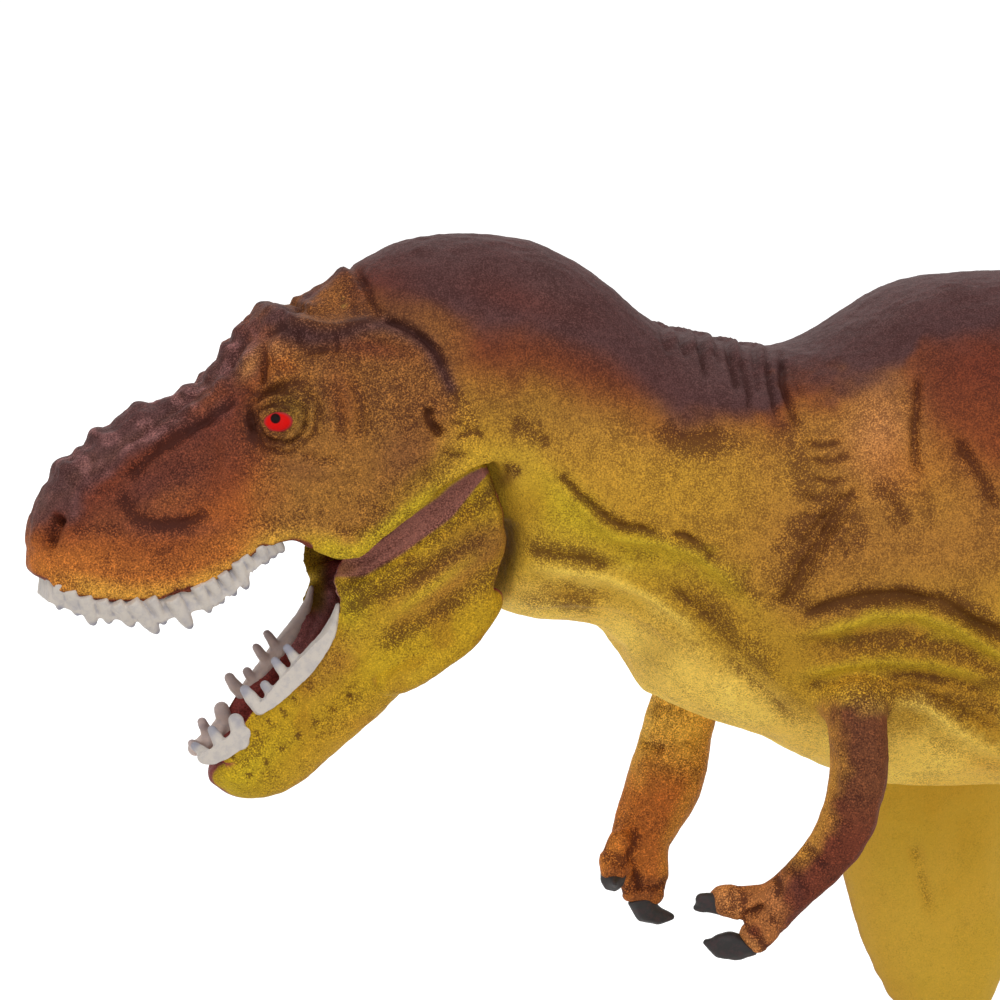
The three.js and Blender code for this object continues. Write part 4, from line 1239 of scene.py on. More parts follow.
@dataclass
class BodySkin:
    """Skin of fixed pieces: one surface over all of them, from which the chosen ones are cut."""

    voxel: float
    quick_voxel: float
    pieces: tuple[str, ...]
    low: float = -1.0
    high: float = 1.0
    closing: float = 0.00026
    facet_reach: float = 0.0022
    row_outside: tuple = ((-146, -143, -140, -137, -134, -131, -128, -125, -122, -119),
                          (5.5, 6.3, 7.2, 8.2, 8.8, 9.1, 9.5, 10.3, 10.8, 11.2))
    lip_fall: tuple = ((25, 40, 57, 150, 189, 201, 249, 262, 290), (0, 5, 9.5, 9.5, 4.5, 6.5, 9.5, 4, 0))
    skin: Skin = field(default=None)

    head_marks: tuple = (
        # nostril, a long hollow that runs down to the lip
        Stroke(((60, 514), (52, 532), (45, 550)), 8, -1.9, 0.55, 0.15),
        Stroke(((61, 513), (54, 527)), 5, -1.0, 0.9, 0.3),
        Stroke(((74, 510), (66, 532), (58, 556)), 5, 0.7),
        Stroke(((44, 516), (36, 534), (30, 552)), 5, 0.3),
        # row of bumps along the nasal bone
        Mound((66, 470), (13, 12), 1.3, -40),
        Mound((80, 452), (9, 8), 0.5, -40),
        Mound((99, 436), (14, 12), 1.5, -40),
        Mound((119, 420), (10, 8), 0.6, -25),
        Mound((140, 410), (18, 13), 1.5, -25),
        Mound((166, 400), (11, 9), 0.8, -20),
        Mound((188, 391), (13, 10), 1.1, -40),
        Mound((208, 370), (11, 10), 0.8, -50),
        Mound((226, 350), (13, 11), 1.3, -50),
        Mound((244, 336), (14, 13), 1.5, -40),
        Mound((276, 322), (26, 15), 2.3, -5),
        Mound((309, 331), (25, 12), 2.1, 0),
        # lumps along the edge of the snout's roof
        Mound((222, 388), (12, 9), 1.0, -40),
        Mound((208, 401), (9, 8), 0.7, -40),
        Mound((194, 411), (11, 8), 0.9, -38),
        Mound((178, 430), (11, 8), 0.8, -38),
        Mound((157, 444), (12, 8), 0.8, -40),
        Mound((126, 465), (12, 9), 0.7, -40),
        Mound((106, 480), (10, 9), 0.5, -40),
        Mound((84, 488), (10, 9), 0.5),
        Stroke(((212, 366), (192, 398), (164, 416), (132, 440), (100, 462)), 4, -0.45, 0.3),
        Stroke(((256, 336), (238, 356), (226, 372)), 5, -0.7, 0.5),
        # hollow in front of the eye, with its dark rim
        Mound((188, 468), (56, 25), -1.5, -36, 0.15),
        Stroke(((238, 392), (222, 408), (196, 424), (168, 442), (142, 462), (124, 482)), 6, -1.0, 0.75, 0.12),
        Stroke(((124, 480), (124, 502), (136, 518), (160, 526), (190, 522), (218, 508)), 7, -0.7, 0.7, 0.18),
        Stroke(((218, 430), (226, 450), (226, 472), (214, 496)), 7, 0.7),
        Stroke(((236, 420), (246, 446), (246, 470), (236, 492)), 6, -0.3, 0.2),
        Stroke(((108, 536), (150, 545), (205, 538), (240, 514)), 9, 0.5),
        Stroke(((66, 534), (100, 530), (128, 534)), 7, -0.3, 0.3),
        # brow knobs
        Mound((252, 363), (10, 19), 1.9, 28),
        Mound((280, 355), (15, 17), 1.9, -10),
        Mound((296, 348), (12, 9), 0.8, 10),
        Stroke(((262, 388), (264, 370), (268, 346)), 3.2, -1.0, 0.8),
        Stroke(((238, 386), (254, 394), (284, 384), (306, 380), (318, 384)), 3.6, -0.7, 0.7),
        Stroke(((266, 342), (284, 334), (296, 338)), 3.6, -0.6, 0.7),
        Stroke(((284, 330), (306, 338), (326, 334), (350, 328), (380, 324)), 7, 1.2, 0.55, 0.15),
        Stroke(((290, 336), (310, 352), (336, 346)), 4, -0.6, 0.6),
        Stroke(((336, 330), (338, 344), (334, 356)), 3.5, -0.6, 0.6),
        Stroke(((290, 324), (298, 314), (304, 304)), 5, -1.0, 0.5),
        Stroke(((308, 316), (328, 292), (352, 268)), 8, 1.0, 0.0, 0.1),
        Mound((342, 300), (18, 24), -0.9, 30),
        Stroke(((354, 268), (366, 286), (374, 306), (384, 320)), 5, -1.0, 0.6, 0.15),
        Stroke(((346, 300), (352, 306), (358, 318)), 4, -0.4, 0.5),
        # lids and the wrinkles round the eye
        Mound((284, 418), (38, 36), -0.9, 0, 0.1),
        Mound((281, 421), (21, 15), 0.75, 0, 0.0, 0.15),
        Mound((282, 420), (25, 20), -0.5, 0, 0.55, 0.08),
        Mound((283, 419), (29, 26), 0.45, 0, 0.0, 0.08),
        Mound((284, 419), (34, 33), -0.5, 0, 0.55, 0.07),
        Mound((286, 419), (41, 41), 0.35, 0, 0.0, 0.08),
        Stroke(((250, 404), (249, 422), (253, 438), (262, 450)), 5, -0.8, 0.7),
        Stroke(((254, 430), (264, 440), (280, 445), (298, 441), (310, 430)), 2.8, -0.45, 0.6),
        Stroke(((252, 410), (258, 398), (272, 391), (290, 391), (306, 400), (314, 412)), 2.8, -0.5, 0.65),
        Stroke(((262, 412), (270, 405), (282, 404), (293, 410)), 2.5, -0.45, 0.75),
        Stroke(((264, 430), (276, 436), (290, 433)), 2.5, -0.4, 0.5),
        Stroke(((296, 420), (304, 422), (310, 428)), 2.5, -0.35, 0.5),
        Stroke(((250, 424), (258, 424)), 3, -0.4, 0.5),
        Stroke(((326, 376), (336, 400), (342, 424), (340, 444)), 6, -0.5, 0.4),
        Stroke(((336, 372), (348, 400), (354, 424), (350, 450)), 6, 0.4),
        Stroke(((350, 370), (360, 398), (362, 424), (356, 448)), 6, -0.5, 0.4),
        Stroke(((300, 462), (322, 474), (348, 470), (372, 456)), 7, 0.45),
        Stroke(((296, 452), (318, 462), (344, 458)), 5, -0.4, 0.4),
        Mound((384, 440), (32, 44), 0.8, 10),
        Mound((364, 376), (30, 22), -0.6, 10),
        # back edge of the skull
        Stroke(((345, 338), (378, 332), (410, 344), (424, 360)), 8, 0.9, 0.15),
        Stroke(((380, 316), (402, 325), (424, 338), (438, 352), (446, 372)), 4.5, -1.2, 0.85, 0.12),
        Stroke(((444, 366), (450, 386), (462, 404)), 3.5, -0.5, 0.6),
        # ear and the folds behind it
        Stroke(((428, 406), (430, 422), (443, 437)), 4.5, -1.3, 0.95, 0.15),
        Stroke(((419, 408), (421, 426), (432, 446)), 5, 0.5),
        Stroke(((444, 406), (446, 420), (456, 432)), 4, 0.4),
        Stroke(((456, 438), (474, 432), (488, 438)), 3.6, -0.6, 0.7),
        Stroke(((448, 424), (462, 424), (474, 430)), 3.6, -0.4, 0.4),
        Stroke(((440, 450), (456, 456), (470, 454)), 3.6, -0.5, 0.5),
        Stroke(((428, 452), (424, 466), (430, 482)), 5, -0.4, 0.35),
        # cheek and the swelling at the corner of the mouth
        Mound((350, 548), (24, 13), 1.2, -4),
        Mound((296, 520), (30, 20), 0.5, -10),
        Stroke(((330, 526), (352, 534), (376, 528)), 5, -0.5, 0.35),
        Stroke(((372, 538), (402, 514), (440, 482), (480, 460)), 6, 0.75),
        Stroke(((362, 528), (396, 498), (436, 468), (470, 450)), 7, -0.35, 0.2),
        Stroke(((238, 518), (262, 522), (284, 532)), 7, -0.35, 0.15),
        # fine upright ribs along the lip
        *(Stroke(((58 + 13 * i, 572 + 1.4 * i), (60 + 13 * i, 590 + 1.4 * i)), 2.6, -0.2, 0.25, 0.3)
          for i in range(11)),
        *(Stroke(((200 + 11 * i, 572 - 4 * i), (203 + 11 * i, 586 - 5 * i)), 2.6, -0.18, 0.2, 0.3)
          for i in range(5)),
    )
    neck_marks: tuple = (
        # folds of the throat
        Stroke(((556, 470), (580, 496), (604, 516), (622, 528), (646, 532), (662, 536)), 4.5, -0.9, 0.85, 0.1),
        Stroke(((668, 534), (686, 536), (702, 548), (714, 564)), 4, -0.8, 0.9, 0.15),
        Stroke(((564, 488), (592, 518), (614, 536), (662, 542), (698, 554), (724, 574), (752, 598)), 5.5, 1.2,
               0.0, 0.1),
        Stroke(((598, 540), (640, 554), (690, 566), (730, 596)), 6, -0.5, 0.3),
        Stroke(((515, 553), (534, 553), (562, 558), (592, 562), (618, 572)), 5, -0.6, 0.6),
        Stroke(((520, 562), (557, 569), (605, 575), (644, 591), (680, 616), (704, 640)), 6, 0.95, 0.0, 0.12),
        Stroke(((532, 592), (560, 586), (590, 592), (616, 596)), 7, -0.5, 0.3),
        Stroke(((520, 606), (570, 600), (610, 604), (652, 622), (690, 656)), 4, 0.5),
        Stroke(((530, 612), (580, 608), (620, 612), (650, 634)), 3.5, -0.3, 0.1),
        Stroke(((660, 582), (696, 608), (728, 636), (752, 664)), 6, -0.6, 0.45),
        Stroke(((690, 586), (724, 612), (756, 646), (780, 680)), 6, 0.5),
        Stroke(((652, 610), (690, 642), (730, 690), (752, 716)), 7, 0.5),
        Mound((512, 505), (26, 14), 0.5, 60),
        Stroke(((508, 424), (524, 428), (544, 438), (548, 454)), 6, -0.5, 0.5),
        Stroke(((500, 470), (512, 468), (520, 478)), 7, -0.4, 0.6),
        Stroke(((556, 452), (548, 470), (556, 486)), 5, 0.4),
        Stroke(((624, 640), (640, 668), (652, 700)), 7, 0.4),
        Mound((690, 690), (40, 30), 0.5, 30),
        # wrinkles over the back of the neck
        Stroke(((660, 326), (664, 340), (672, 356)), 3, -0.6, 0.35, 0.3),
        Stroke(((678, 330), (682, 346), (690, 360)), 3, -0.6, 0.4, 0.3),
        Stroke(((696, 332), (700, 350), (704, 366), (706, 384)), 3.2, -0.8, 0.6, 0.3),
        Stroke(((712, 336), (716, 352), (722, 370)), 3, -0.5, 0.5, 0.3),
        Stroke(((724, 338), (730, 358), (736, 376), (738, 400)), 3.2, -0.9, 0.7, 0.3),
        Stroke(((737, 340), (744, 368), (750, 396), (746, 424)), 3.2, -0.7, 0.7, 0.3),
        Stroke(((752, 342), (756, 368), (760, 400)), 3, -0.6, 0.5, 0.3),
        Stroke(((764, 344), (768, 372), (774, 404), (780, 430)), 3.2, -0.8, 0.7, 0.3),
        Stroke(((781, 348), (783, 384), (794, 416), (800, 434)), 3.8, -1.2, 0.9, 0.2),
        Stroke(((790, 352), (794, 380), (806, 404)), 3, -0.5, 0.4, 0.3),
        Stroke(((668, 328), (674, 344)), 4.5, 0.7, 0.0, 0.2),
        Stroke(((688, 331), (694, 350)), 4.5, 0.7, 0.0, 0.2),
        Stroke(((706, 334), (712, 356)), 5, 0.9, 0.0, 0.2),
        Stroke(((732, 340), (740, 366)), 5, 0.8, 0.0, 0.2),
        Stroke(((760, 344), (764, 372)), 5, 0.6, 0.0, 0.2),
        Stroke(((664, 424), (684, 436), (706, 436), (728, 430)), 6, -0.4, 0.6),
        Mound((870, 420), (38, 50), 0.9, 10),
        # the crumpled fold in front of the shoulder
        Stroke(((868, 484), (846, 500), (830, 526), (812, 556), (796, 586), (778, 612)), 8, -1.3, 0.65, 0.12),
        Stroke(((848, 488), (828, 512), (806, 540), (790, 566)), 3.6, -0.6, 0.6),
        Stroke(((884, 506), (862, 508), (842, 530), (822, 562), (806, 590)), 6, 0.8, 0.0),
        Stroke(((800, 440), (824, 446), (846, 440)), 3.6, -0.5, 0.5),
        Stroke(((806, 458), (830, 462), (856, 452)), 3.6, -0.5, 0.5),
        Stroke(((808, 476), (832, 482), (852, 478)), 3.6, -0.5, 0.6),
        Stroke(((800, 494), (820, 500), (838, 496)), 3.6, -0.5, 0.6),
        Stroke(((800, 512), (816, 518), (830, 514)), 3.6, -0.5, 0.6),
        Stroke(((812, 486), (820, 506), (812, 528)), 3.6, 0.5, 0.0),
        Stroke(((790, 530), (804, 542), (816, 540)), 3.6, -0.5, 0.6),
        Stroke(((786, 556), (800, 566), (808, 562)), 3.6, -0.5, 0.6),
        Stroke(((836, 536), (846, 548), (846, 560)), 4, -0.3, 0.5),
        Stroke(((864, 488), (884, 492), (898, 508), (912, 532)), 5, -0.7, 0.5),
        Stroke(((876, 506), (890, 520), (902, 540)), 5, -0.4, 0.35),
        Stroke(((760, 600), (800, 604), (820, 600)), 6, -0.4, 0.5),
    )
    flank_marks: tuple = (
        # front edge of the thigh and the creases on it
        Stroke(((918, 368), (917, 400), (914, 430), (915, 462), (926, 482)), 4, -1.1, 0.55, 0.15),
        Stroke(((950, 432), (964, 452), (978, 473), (990, 496), (1002, 516)), 4.5, -0.9, 0.75, 0.2),
        Stroke(((938, 420), (946, 452), (962, 482)), 8, 0.5),
        Stroke(((890, 380), (898, 420), (900, 466)), 10, 0.8),
        Mound((1030, 430), (95, 110), 1.6, 10),
        Stroke(((916, 484), (930, 506), (934, 540)), 7, -0.4, 0.3),
        Stroke(((1030, 480), (1080, 540), (1120, 610), (1140, 680)), 12, -0.9, 0.5),
        Stroke(((1120, 420), (1180, 470), (1220, 540)), 10, -0.8, 0.45),
        Stroke(((1010, 560), (1060, 620), (1090, 700)), 10, -0.6, 0.4),
        Stroke(((1240, 420), (1270, 500), (1260, 580)), 12, -0.6, 0.4),
        Stroke(((1060, 430), (1110, 500), (1150, 580)), 16, 0.7),
        # long folds along the flank with their light edges
        Stroke(((790, 618), (806, 614), (836, 604), (864, 598), (900, 596), (943, 603), (972, 622),
                (1010, 640), (1060, 650)),
               6, -1.3, 0.8, 0.1),
        Stroke(((790, 636), (835, 627), (876, 614), (915, 613), (953, 626), (1000, 652), (1050, 664)), 6, 1.3,
               0.0, 0.1),
        Stroke(((800, 652), (850, 640), (900, 634), (960, 648), (1010, 672)), 7, -0.6, 0.45),
        Stroke(((790, 676), (830, 667), (880, 660), (930, 662), (1000, 678), (1050, 690)), 6, 0.8, 0.0, 0.15),
        Stroke(((800, 690), (850, 680), (910, 676), (960, 684), (1010, 700)), 6, -0.6, 0.5),
        Stroke(((886, 706), (905, 701), (926, 706), (952, 726), (981, 744), (1020, 758)), 5, 0.8, 0.0, 0.15),
        Stroke(((880, 690), (920, 690), (960, 712), (1010, 738)), 5, -0.6, 0.4),
        Stroke(((892, 730), (930, 738), (966, 756), (1000, 768)), 7, -0.4, 0.15),
        Stroke(((1040, 650), (1100, 690), (1130, 740)), 10, -0.5, 0.35),
        # small raised spots in a row above the belly
        *(Mound((952 + 8 * i, 713 + 5 * i), (3.2, 2.8), 0.65) for i in range(6)),
        # chest and belly
        Stroke(((640, 690), (690, 712), (750, 735), (800, 756)), 10, -0.3, 0.1),
        Stroke(((720, 650), (760, 690), (800, 728)), 8, -0.5, 0.35),
        Stroke(((740, 640), (784, 684), (824, 716)), 8, 0.5),
        Stroke(((900, 774), (950, 782), (1000, 776)), 8, -0.3, 0.08),
        Stroke(((808, 680), (824, 694), (840, 702)), 7, -0.4, 0.5),
    )
    tail_marks: tuple = (
        *(Stroke(((1340 + 58 * i, 392 - 4 * i), (1352 + 58 * i, 440), (1346 + 58 * i, 500)), 7, -0.4, 0.35,
                 0.3) for i in range(12)),
        *(Mound((1330 + 42 * i, 366 + 1.5 * i), (15, 8), 0.7) for i in range(18)),
        Stroke(((1250, 560), (1500, 540), (1800, 500), (2080, 470)), 14, -0.6, 0.3, 0.1),
        Stroke(((1250, 510), (1500, 500), (1800, 470), (2080, 455)), 16, 0.5, 0.0, 0.1),
    )
    leg_marks: tuple = (
        Stroke(((868, 900), (880, 950), (888, 1000)), 9, 0.3),
        Stroke(((912, 838), (920, 868), (926, 892), (932, 916)), 6, -0.7, 0.35),
        Stroke(((960, 800), (955, 850), (950, 900)), 12, -0.5, 0.05),
        Stroke(((975, 820), (985, 900), (995, 980)), 14, 0.5),
        Stroke(((930, 800), (932, 850), (940, 880)), 10, 0.4),
        Stroke(((950, 900), (965, 960), (975, 1040)), 9, -0.4, 0.1),
    )
    near_arm_marks: tuple = (
        Stroke(((828, 740), (834, 772), (834, 806)), 6, -0.4, 0.0),
        Stroke(((872, 726), (878, 770), (876, 806)), 7, 0.4),
        Stroke(((800, 838), (812, 852), (828, 870)), 4, -0.45, 0.5),
        Stroke(((824, 812), (838, 822), (856, 828)), 4, -0.4, 0.4),
        Stroke(((772, 868), (778, 884), (776, 900)), 3.6, -0.6, 0.8),
        Stroke(((786, 862), (800, 880), (812, 898)), 4, -0.45, 0.5),
        Stroke(((730, 884), (734, 900), (730, 916)), 3, -0.35, 0.6),
        Stroke(((744, 884), (748, 894), (746, 908)), 3, -0.35, 0.45),
        Stroke(((752, 930), (760, 942), (762, 952)), 3.2, -0.4, 0.7),
        Stroke(((744, 917), (754, 912), (765, 904)), 3.4, -1.3, 0.9, 0.3),
        Stroke(((768, 916), (778, 926), (784, 936)), 3.2, -0.4, 0.5),
    )
    far_arm_marks: tuple = (
        Stroke(((640, 742), (652, 746), (668, 748)), 4.5, -1.0, 0.4),
        Stroke(((606, 862), (622, 866), (636, 856)), 3.6, -0.6, 0.6),
        Stroke(((634, 826), (636, 844), (628, 860)), 3.6, -0.6, 0.7),
        Stroke(((634, 866), (638, 880), (640, 896)), 4, -0.9, 0.8),
        Stroke(((642, 884), (656, 888), (668, 880)), 3.2, -0.4, 0.5),
    )

    def build(self) -> None:
        """Wraps, smooths, sculpts and paints the skin."""
        voxel = self.voxel
        inside = [name for name in FIXED_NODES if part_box(name)[0].x < self.high
                  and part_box(name)[1].x > self.low]
        copies = [grown_copy(name, self.closing) for name in inside]
        copies += [grown_copy(name, 3 * self.closing) for name in EYE_NODES]
        for blob in EXTRA_CLAY:
            copies += blob.build()
        self.skin = Skin.of_mesh(remeshed(copies, voxel), self.low, self.high)
        self.find_labels()
        self.smooth(voxel)
        self.fill_out_limbs()
        self.lower_lip()
        self.sculpt()
        self.paint()
        LOG.info("skin over %s: %d points at %.2f mm", ", ".join(self.pieces), len(self.skin.points),
                 voxel / MM)

    def find_labels(self) -> None:
        """Gives each face the node whose solid is nearest, and evens out ragged borders."""
        skin = self.skin
        tree, owner = node_tree(FIXED_NODES)
        near = np.array([owner[tree.find_nearest(Vector(point))[2]] for point in skin.points])
        shares = np.stack([skin.blur((near == number).astype(float), 8) for number in range(len(FIXED_NODES))],
                          axis=1)
        self.point_labels = shares.argmax(axis=1)
        skin.labels = sum(shares[skin.faces[:, i]] for i in range(4)).argmax(axis=1)

    def of_nodes(self, *names: str) -> np.ndarray:
        """A mask that is 1 on the named nodes' points."""
        return np.isin(self.point_labels, [FIXED_NODES.index(name) for name in names]).astype(float)

    def smooth(self, voxel: float) -> None:
        """Takes the facets of the solids away, and leaves lips, fingers and toes crisp.

        Args:
            voxel: Grid size of the skin, in metres.
        """
        skin = self.skin
        height = skin.points[:, 2]
        own, _ = skin.seen()
        fine = self.of_nodes("left_arm") * smooth_step(725, 760, own[:, 1])
        fine = np.maximum(fine, self.of_nodes("right_arm") * smooth_step(735, 765, own[:, 1]))
        fine = np.maximum(fine, self.of_nodes("left_leg", "right_leg") * smooth_step(0.02, 0.012, height))
        skull = self.of_nodes("skull")
        pixels, _ = skin.mirrored()
        inward = (skin.normals[:, 1] * np.sign(skin.points[:, 1])) < -0.1
        lip = np.maximum(smooth_step(14, 2, np.abs(pixels[:, 1] - line_height(pixels[:, 0], LIP_LINE))),
                         inward)
        fine = np.maximum(fine * 0.9, skull * lip * 0.97)
        rounds = int(2 * (self.facet_reach / voxel) ** 2)
        skin.relax(rounds, 1 - skin.blur(fine, 4))
        skin.relax(4, 0.5)
        skin.push(np.full(len(skin.points), -self.closing / MM))

    def lower_lip(self) -> None:
        """Draws the edge of the upper lip down over the foot of the teeth, as far as in the photograph."""
        skin = self.skin
        pixels, _ = skin.mirrored()
        x, wide = skin.points[:, 0] / MM, np.abs(skin.points[:, 1]) / MM
        row = np.interp(x, *self.row_outside)
        outer = np.maximum(smooth_step(-1.0, -0.1, wide - row), smooth_step(-147.2, -148.4, x))
        fall = np.interp(pixels[:, 0], *self.lip_fall)
        near = smooth_step(-62, -14, pixels[:, 1] - line_height(pixels[:, 0], LIP_LINE))
        share = skin.blur(outer * self.of_nodes("skull"), 3) * near * fall
        skin.points[:, 2] -= share / PIXELS_PER_MM * MM
        skin.update_normals()

    def fill_out_limbs(self) -> None:
        """Makes the far shank as deep, and the far upper arm as thick, as in the photograph."""
        skin = self.skin
        leg = skin.blur(self.of_nodes("right_leg"), 4)
        x, z = skin.points[:, 0] / MM, skin.points[:, 2] / MM
        rear = smooth_step(-15, -5, x) * smooth_step(24, 36, z) * smooth_step(96, 80, z)
        skin.points[:, 0] += 4.8 * MM * leg * rear
        fore = smooth_step(-22, -30, x) * smooth_step(36, 44, z) * smooth_step(66, 58, z)
        skin.points[:, 0] += 1.1 * MM * leg * fore
        arm = skin.blur(self.of_nodes("right_arm"), 6)
        own, _ = skin.seen()
        upper = arm * smooth_step(850, 790, own[:, 1])
        skin.push(0.85 * upper)
        skin.points[:, 0] += 1.0 * MM * upper
        skin.update_normals()

    def sculpt(self) -> None:
        """Works all marks and the leathery unevenness into the skin."""
        skin = self.skin
        pixels, facing = skin.mirrored()
        own_pixels, own_facing = skin.seen()
        outside = self.outside_mask(pixels)
        trunk = skin.blur(self.of_nodes("skull", *TRUNK_NODES, "tail", "left_leg"), 6) * outside
        trunk *= smooth_step(0.05, 0.062, skin.points[:, 2])
        for marks in (self.head_marks, self.neck_marks, self.flank_marks, self.tail_marks):
            skin.sculpt(marks, pixels, facing, trunk)
        skin.sculpt(self.near_arm_marks, own_pixels, own_facing, self.of_nodes("left_arm"))
        skin.sculpt(self.far_arm_marks, own_pixels, own_facing, self.of_nodes("right_arm"))
        skin.sculpt(self.leg_marks, own_pixels, own_facing, self.of_nodes("right_leg"))
        self.add_unevenness(pixels, outside)
        self.add_toe_scutes()
        self.add_collars()

    def outside_mask(self, pixels: np.ndarray) -> np.ndarray:
        """Tells the outside of the figure from the mouth.

        Args:
            pixels: Each point's pixel.

        Returns:
            1 on the outside and 0 in the mouth, for each point.
        """
        skin = self.skin
        out = skin.normals[:, 1] * np.sign(skin.points[:, 1])
        inside = self.of_nodes("skull") * ((out < -0.05) | (skin.normals[:, 2] < -0.75))
        inside = inside * smooth_step(-60, -10, pixels[:, 1] - 470)
        return skin.blur(1 - np.clip(inside, 0, 1), 4)

    def add_unevenness(self, pixels: np.ndarray, outside: np.ndarray) -> None:
        """Lays pebbles on the back, crumples on the shoulder and a soft waviness over everything, with painted
        shade in the hollows between the lumps.

        Args:
            pixels: Each point's pixel.
            outside: 1 on the outside of the figure and 0 in the mouth.
        """
        skin = self.skin
        points = skin.points / MM
        x, y = pixels[:, 0], pixels[:, 1]
        rough_head = (smooth_step(330, 250, x) * above(x, y, ((20, 520), (130, 490), (240, 410), (330, 350)),
                                                       30))
        back = above(x, y, SLATE_LINE, 40)
        crumple = np.exp(-(((x - 828) / 42) ** 2) - ((y - 520) / 80) ** 2)
        soft = 0.13 * cell_noise(points, 5.5, 1) + 0.08 * cell_noise(points, 2.4, 2)
        lumps = cell_noise(points, 1.5, 3) * (0.06 + 0.16 * rough_head + 0.28 * crumple)
        ridged = ((1 - np.abs(cell_noise(points, 1.9, 4)) * 2)
                  * (0.07 * back + 0.2 * crumple + 0.12 * rough_head))
        fine = 0.045 * cell_noise(points, 0.9, 5)
        skin.push((soft + lumps + ridged + fine) * outside)
        # painted shade in the hollows between the lumps on the head and the crumples
        hollow = np.clip(-cell_noise(points, 1.5, 3), 0, 1) * (0.25 * rough_head + 0.5 * crumple)
        skin.wash_and_shade = np.maximum(skin.wash_and_shade, hollow)

    def add_toe_scutes(self) -> None:
        """Cuts grooves across the toes and the front of the shanks, with painted shade in the toes' grooves."""
        skin = self.skin
        legs = self.of_nodes("left_leg", "right_leg")
        low = smooth_step(0.016, 0.011, skin.points[:, 2]) * smooth_step(-0.1, 0.3, skin.normals[:, 2])
        wave = np.sin(skin.points[:, 0] / (2.3 * MM) * 2 * math.pi)
        skin.push(legs * low * 0.25 * np.minimum(wave, 0.3))
        # painted shade in the grooves across the toes
        skin.wash_and_shade = np.maximum(skin.wash_and_shade, legs * low * 0.5 * smooth_step(-0.5, -1, wave))
        shank = smooth_step(0.012, 0.02, skin.points[:, 2]) * smooth_step(0.036, 0.028, skin.points[:, 2])
        wave = np.sin(skin.points[:, 2] / (3.1 * MM) * 2 * math.pi + 2 * cell_noise(skin.points / MM, 6, 8))
        skin.push(legs * shank * 0.16 * wave * smooth_step(0.1, -0.6, skin.normals[:, 0]))

    def add_collars(self) -> None:
        """Raises the stepped collar of skin that each claw is seated in, with painted shade round its foot."""
        skin = self.skin
        tree, _ = node_tree([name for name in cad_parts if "claw" in name])
        gaps = np.full(len(skin.points), 1.0)
        for i in np.flatnonzero(self.of_nodes("left_arm", "right_arm", "left_leg", "right_leg")):
            found = tree.find_nearest(Vector(skin.points[i]), 0.003)
            if found[3] is not None:
                gaps[i] = found[3]
        self.collar = smooth_step(1.7 * MM, 1.2 * MM, gaps)
        skin.push(0.28 * self.collar)
        # painted shade in a ring at the foot of the collar
        ring = np.exp(-(((gaps / MM - 1.9) / 0.35) ** 2))
        skin.wash_and_shade = np.maximum(skin.wash_and_shade, 0.7 * ring)

    def paint(self) -> None:
        """Sprays the skin, from the pale underside up to the dark back."""
        skin = self.skin
        points = skin.points
        pixels, _ = skin.mirrored()
        drift = (13 * cell_noise(points / MM, 9, 11) + 8 * cell_noise(points / MM, 3.5, 12)
                 + 4 * cell_noise(points / MM, 1.4, 13))
        x, y = pixels[:, 0] + drift, pixels[:, 1] + drift
        spot = partial(self.spray, pixels)
        patches = smooth_step(-0.3, 0.6, cell_noise(points / MM, 7, 14))
        skin.coat(PAINT.cream, 1.0)
        skin.coat(PAINT.honey, 0.25 * patches)
        soft_specks = (0.07 * above(x, y, FLANK_LINE, 30) + 0.06 * above(x, y, TAN_LINE, 50)
                       + 0.06 * above(x, y, BELLY_LINE, 30))
        skin.wash_and_shade = np.maximum(skin.wash_and_shade, soft_specks + 0.03)
        skin.coat(PAINT.honey, 0.7 * above(x, y, BELLY_LINE, 40))
        skin.coat(PAINT.olive, 0.75 * above(x, y, BELLY_LINE, 26) * smooth_step(1500, 1000, x))
        skin.coat(PAINT.ochre, 0.92 * above(x, y, FLANK_LINE, 22))
        skin.coat(PAINT.tan, 0.75 * above(x, y, TAN_LINE, 45))
        spray_spots(skin, spot, (
            (PAINT.tan, (0.7, 820, 540, 90, 90)),
            (PAINT.umber, (0.48, 560, 415, 90, 32, 6), (0.2, 930, 555, 110, 60), (0.3, 840, 612, 60, 12)),
            (PAINT.tan, (0.7, 960, 540, 130, 60)),
            (PAINT.amber, (0.35, 600, 440, 70, 36, 15)),
            (PAINT.lime, (0.5, 556, 512, 44, 26, 40)),
            (PAINT.bronze, (0.5, 532, 505, 22, 26)),
            (PAINT.lime, (0.35, 640, 560, 50, 16, 20)),
            (PAINT.bronze, (0.6, 900, 668, 130, 42, 8)),
            (PAINT.bronze, (0.5, 700, 600, 60, 22, 38)),
        ))
        skin.coat(PAINT.rust, 0.55 * above(x, y, RED_LINE, 34))
        skin.coat(PAINT.red_brown, 0.75 * above(x, y + 16, RED_LINE, 26))
        spray_spots(skin, spot, (
            # painted highlight: a pale peach patch on the swelling of the shoulder
            (PAINT.peach, (0.9, 882, 430, 34, 56, 5)),
            (PAINT.orange, (0.4, 905, 470, 40, 30)),
            (PAINT.red_brown, (0.95, 985, 372, 75, 58, 14)),
            (PAINT.rust, (0.6, 1000, 440, 70, 50, 30)),
        ))
        skin.coat(PAINT.slate, 0.93 * above(x, y, SLATE_LINE, 22))
        skin.coat(PAINT.grey, 0.25 * above(x, y + 34, SLATE_LINE, 26) * patches)
        skin.coat(PAINT.red_brown, 0.35 * spot(520, 300, 60, 16, 14) + 0.38 * spot(548, 366, 96, 22, 12))
        self.paint_head(spot, x, y, pixels)
        self.paint_markings(pixels, spot)
        self.paint_limbs()
        self.paint_mouth(pixels)
        skin.wash_and_shade = np.clip(skin.blur(skin.wash_and_shade, 2), 0, MOST_WASH_AND_SHADE)

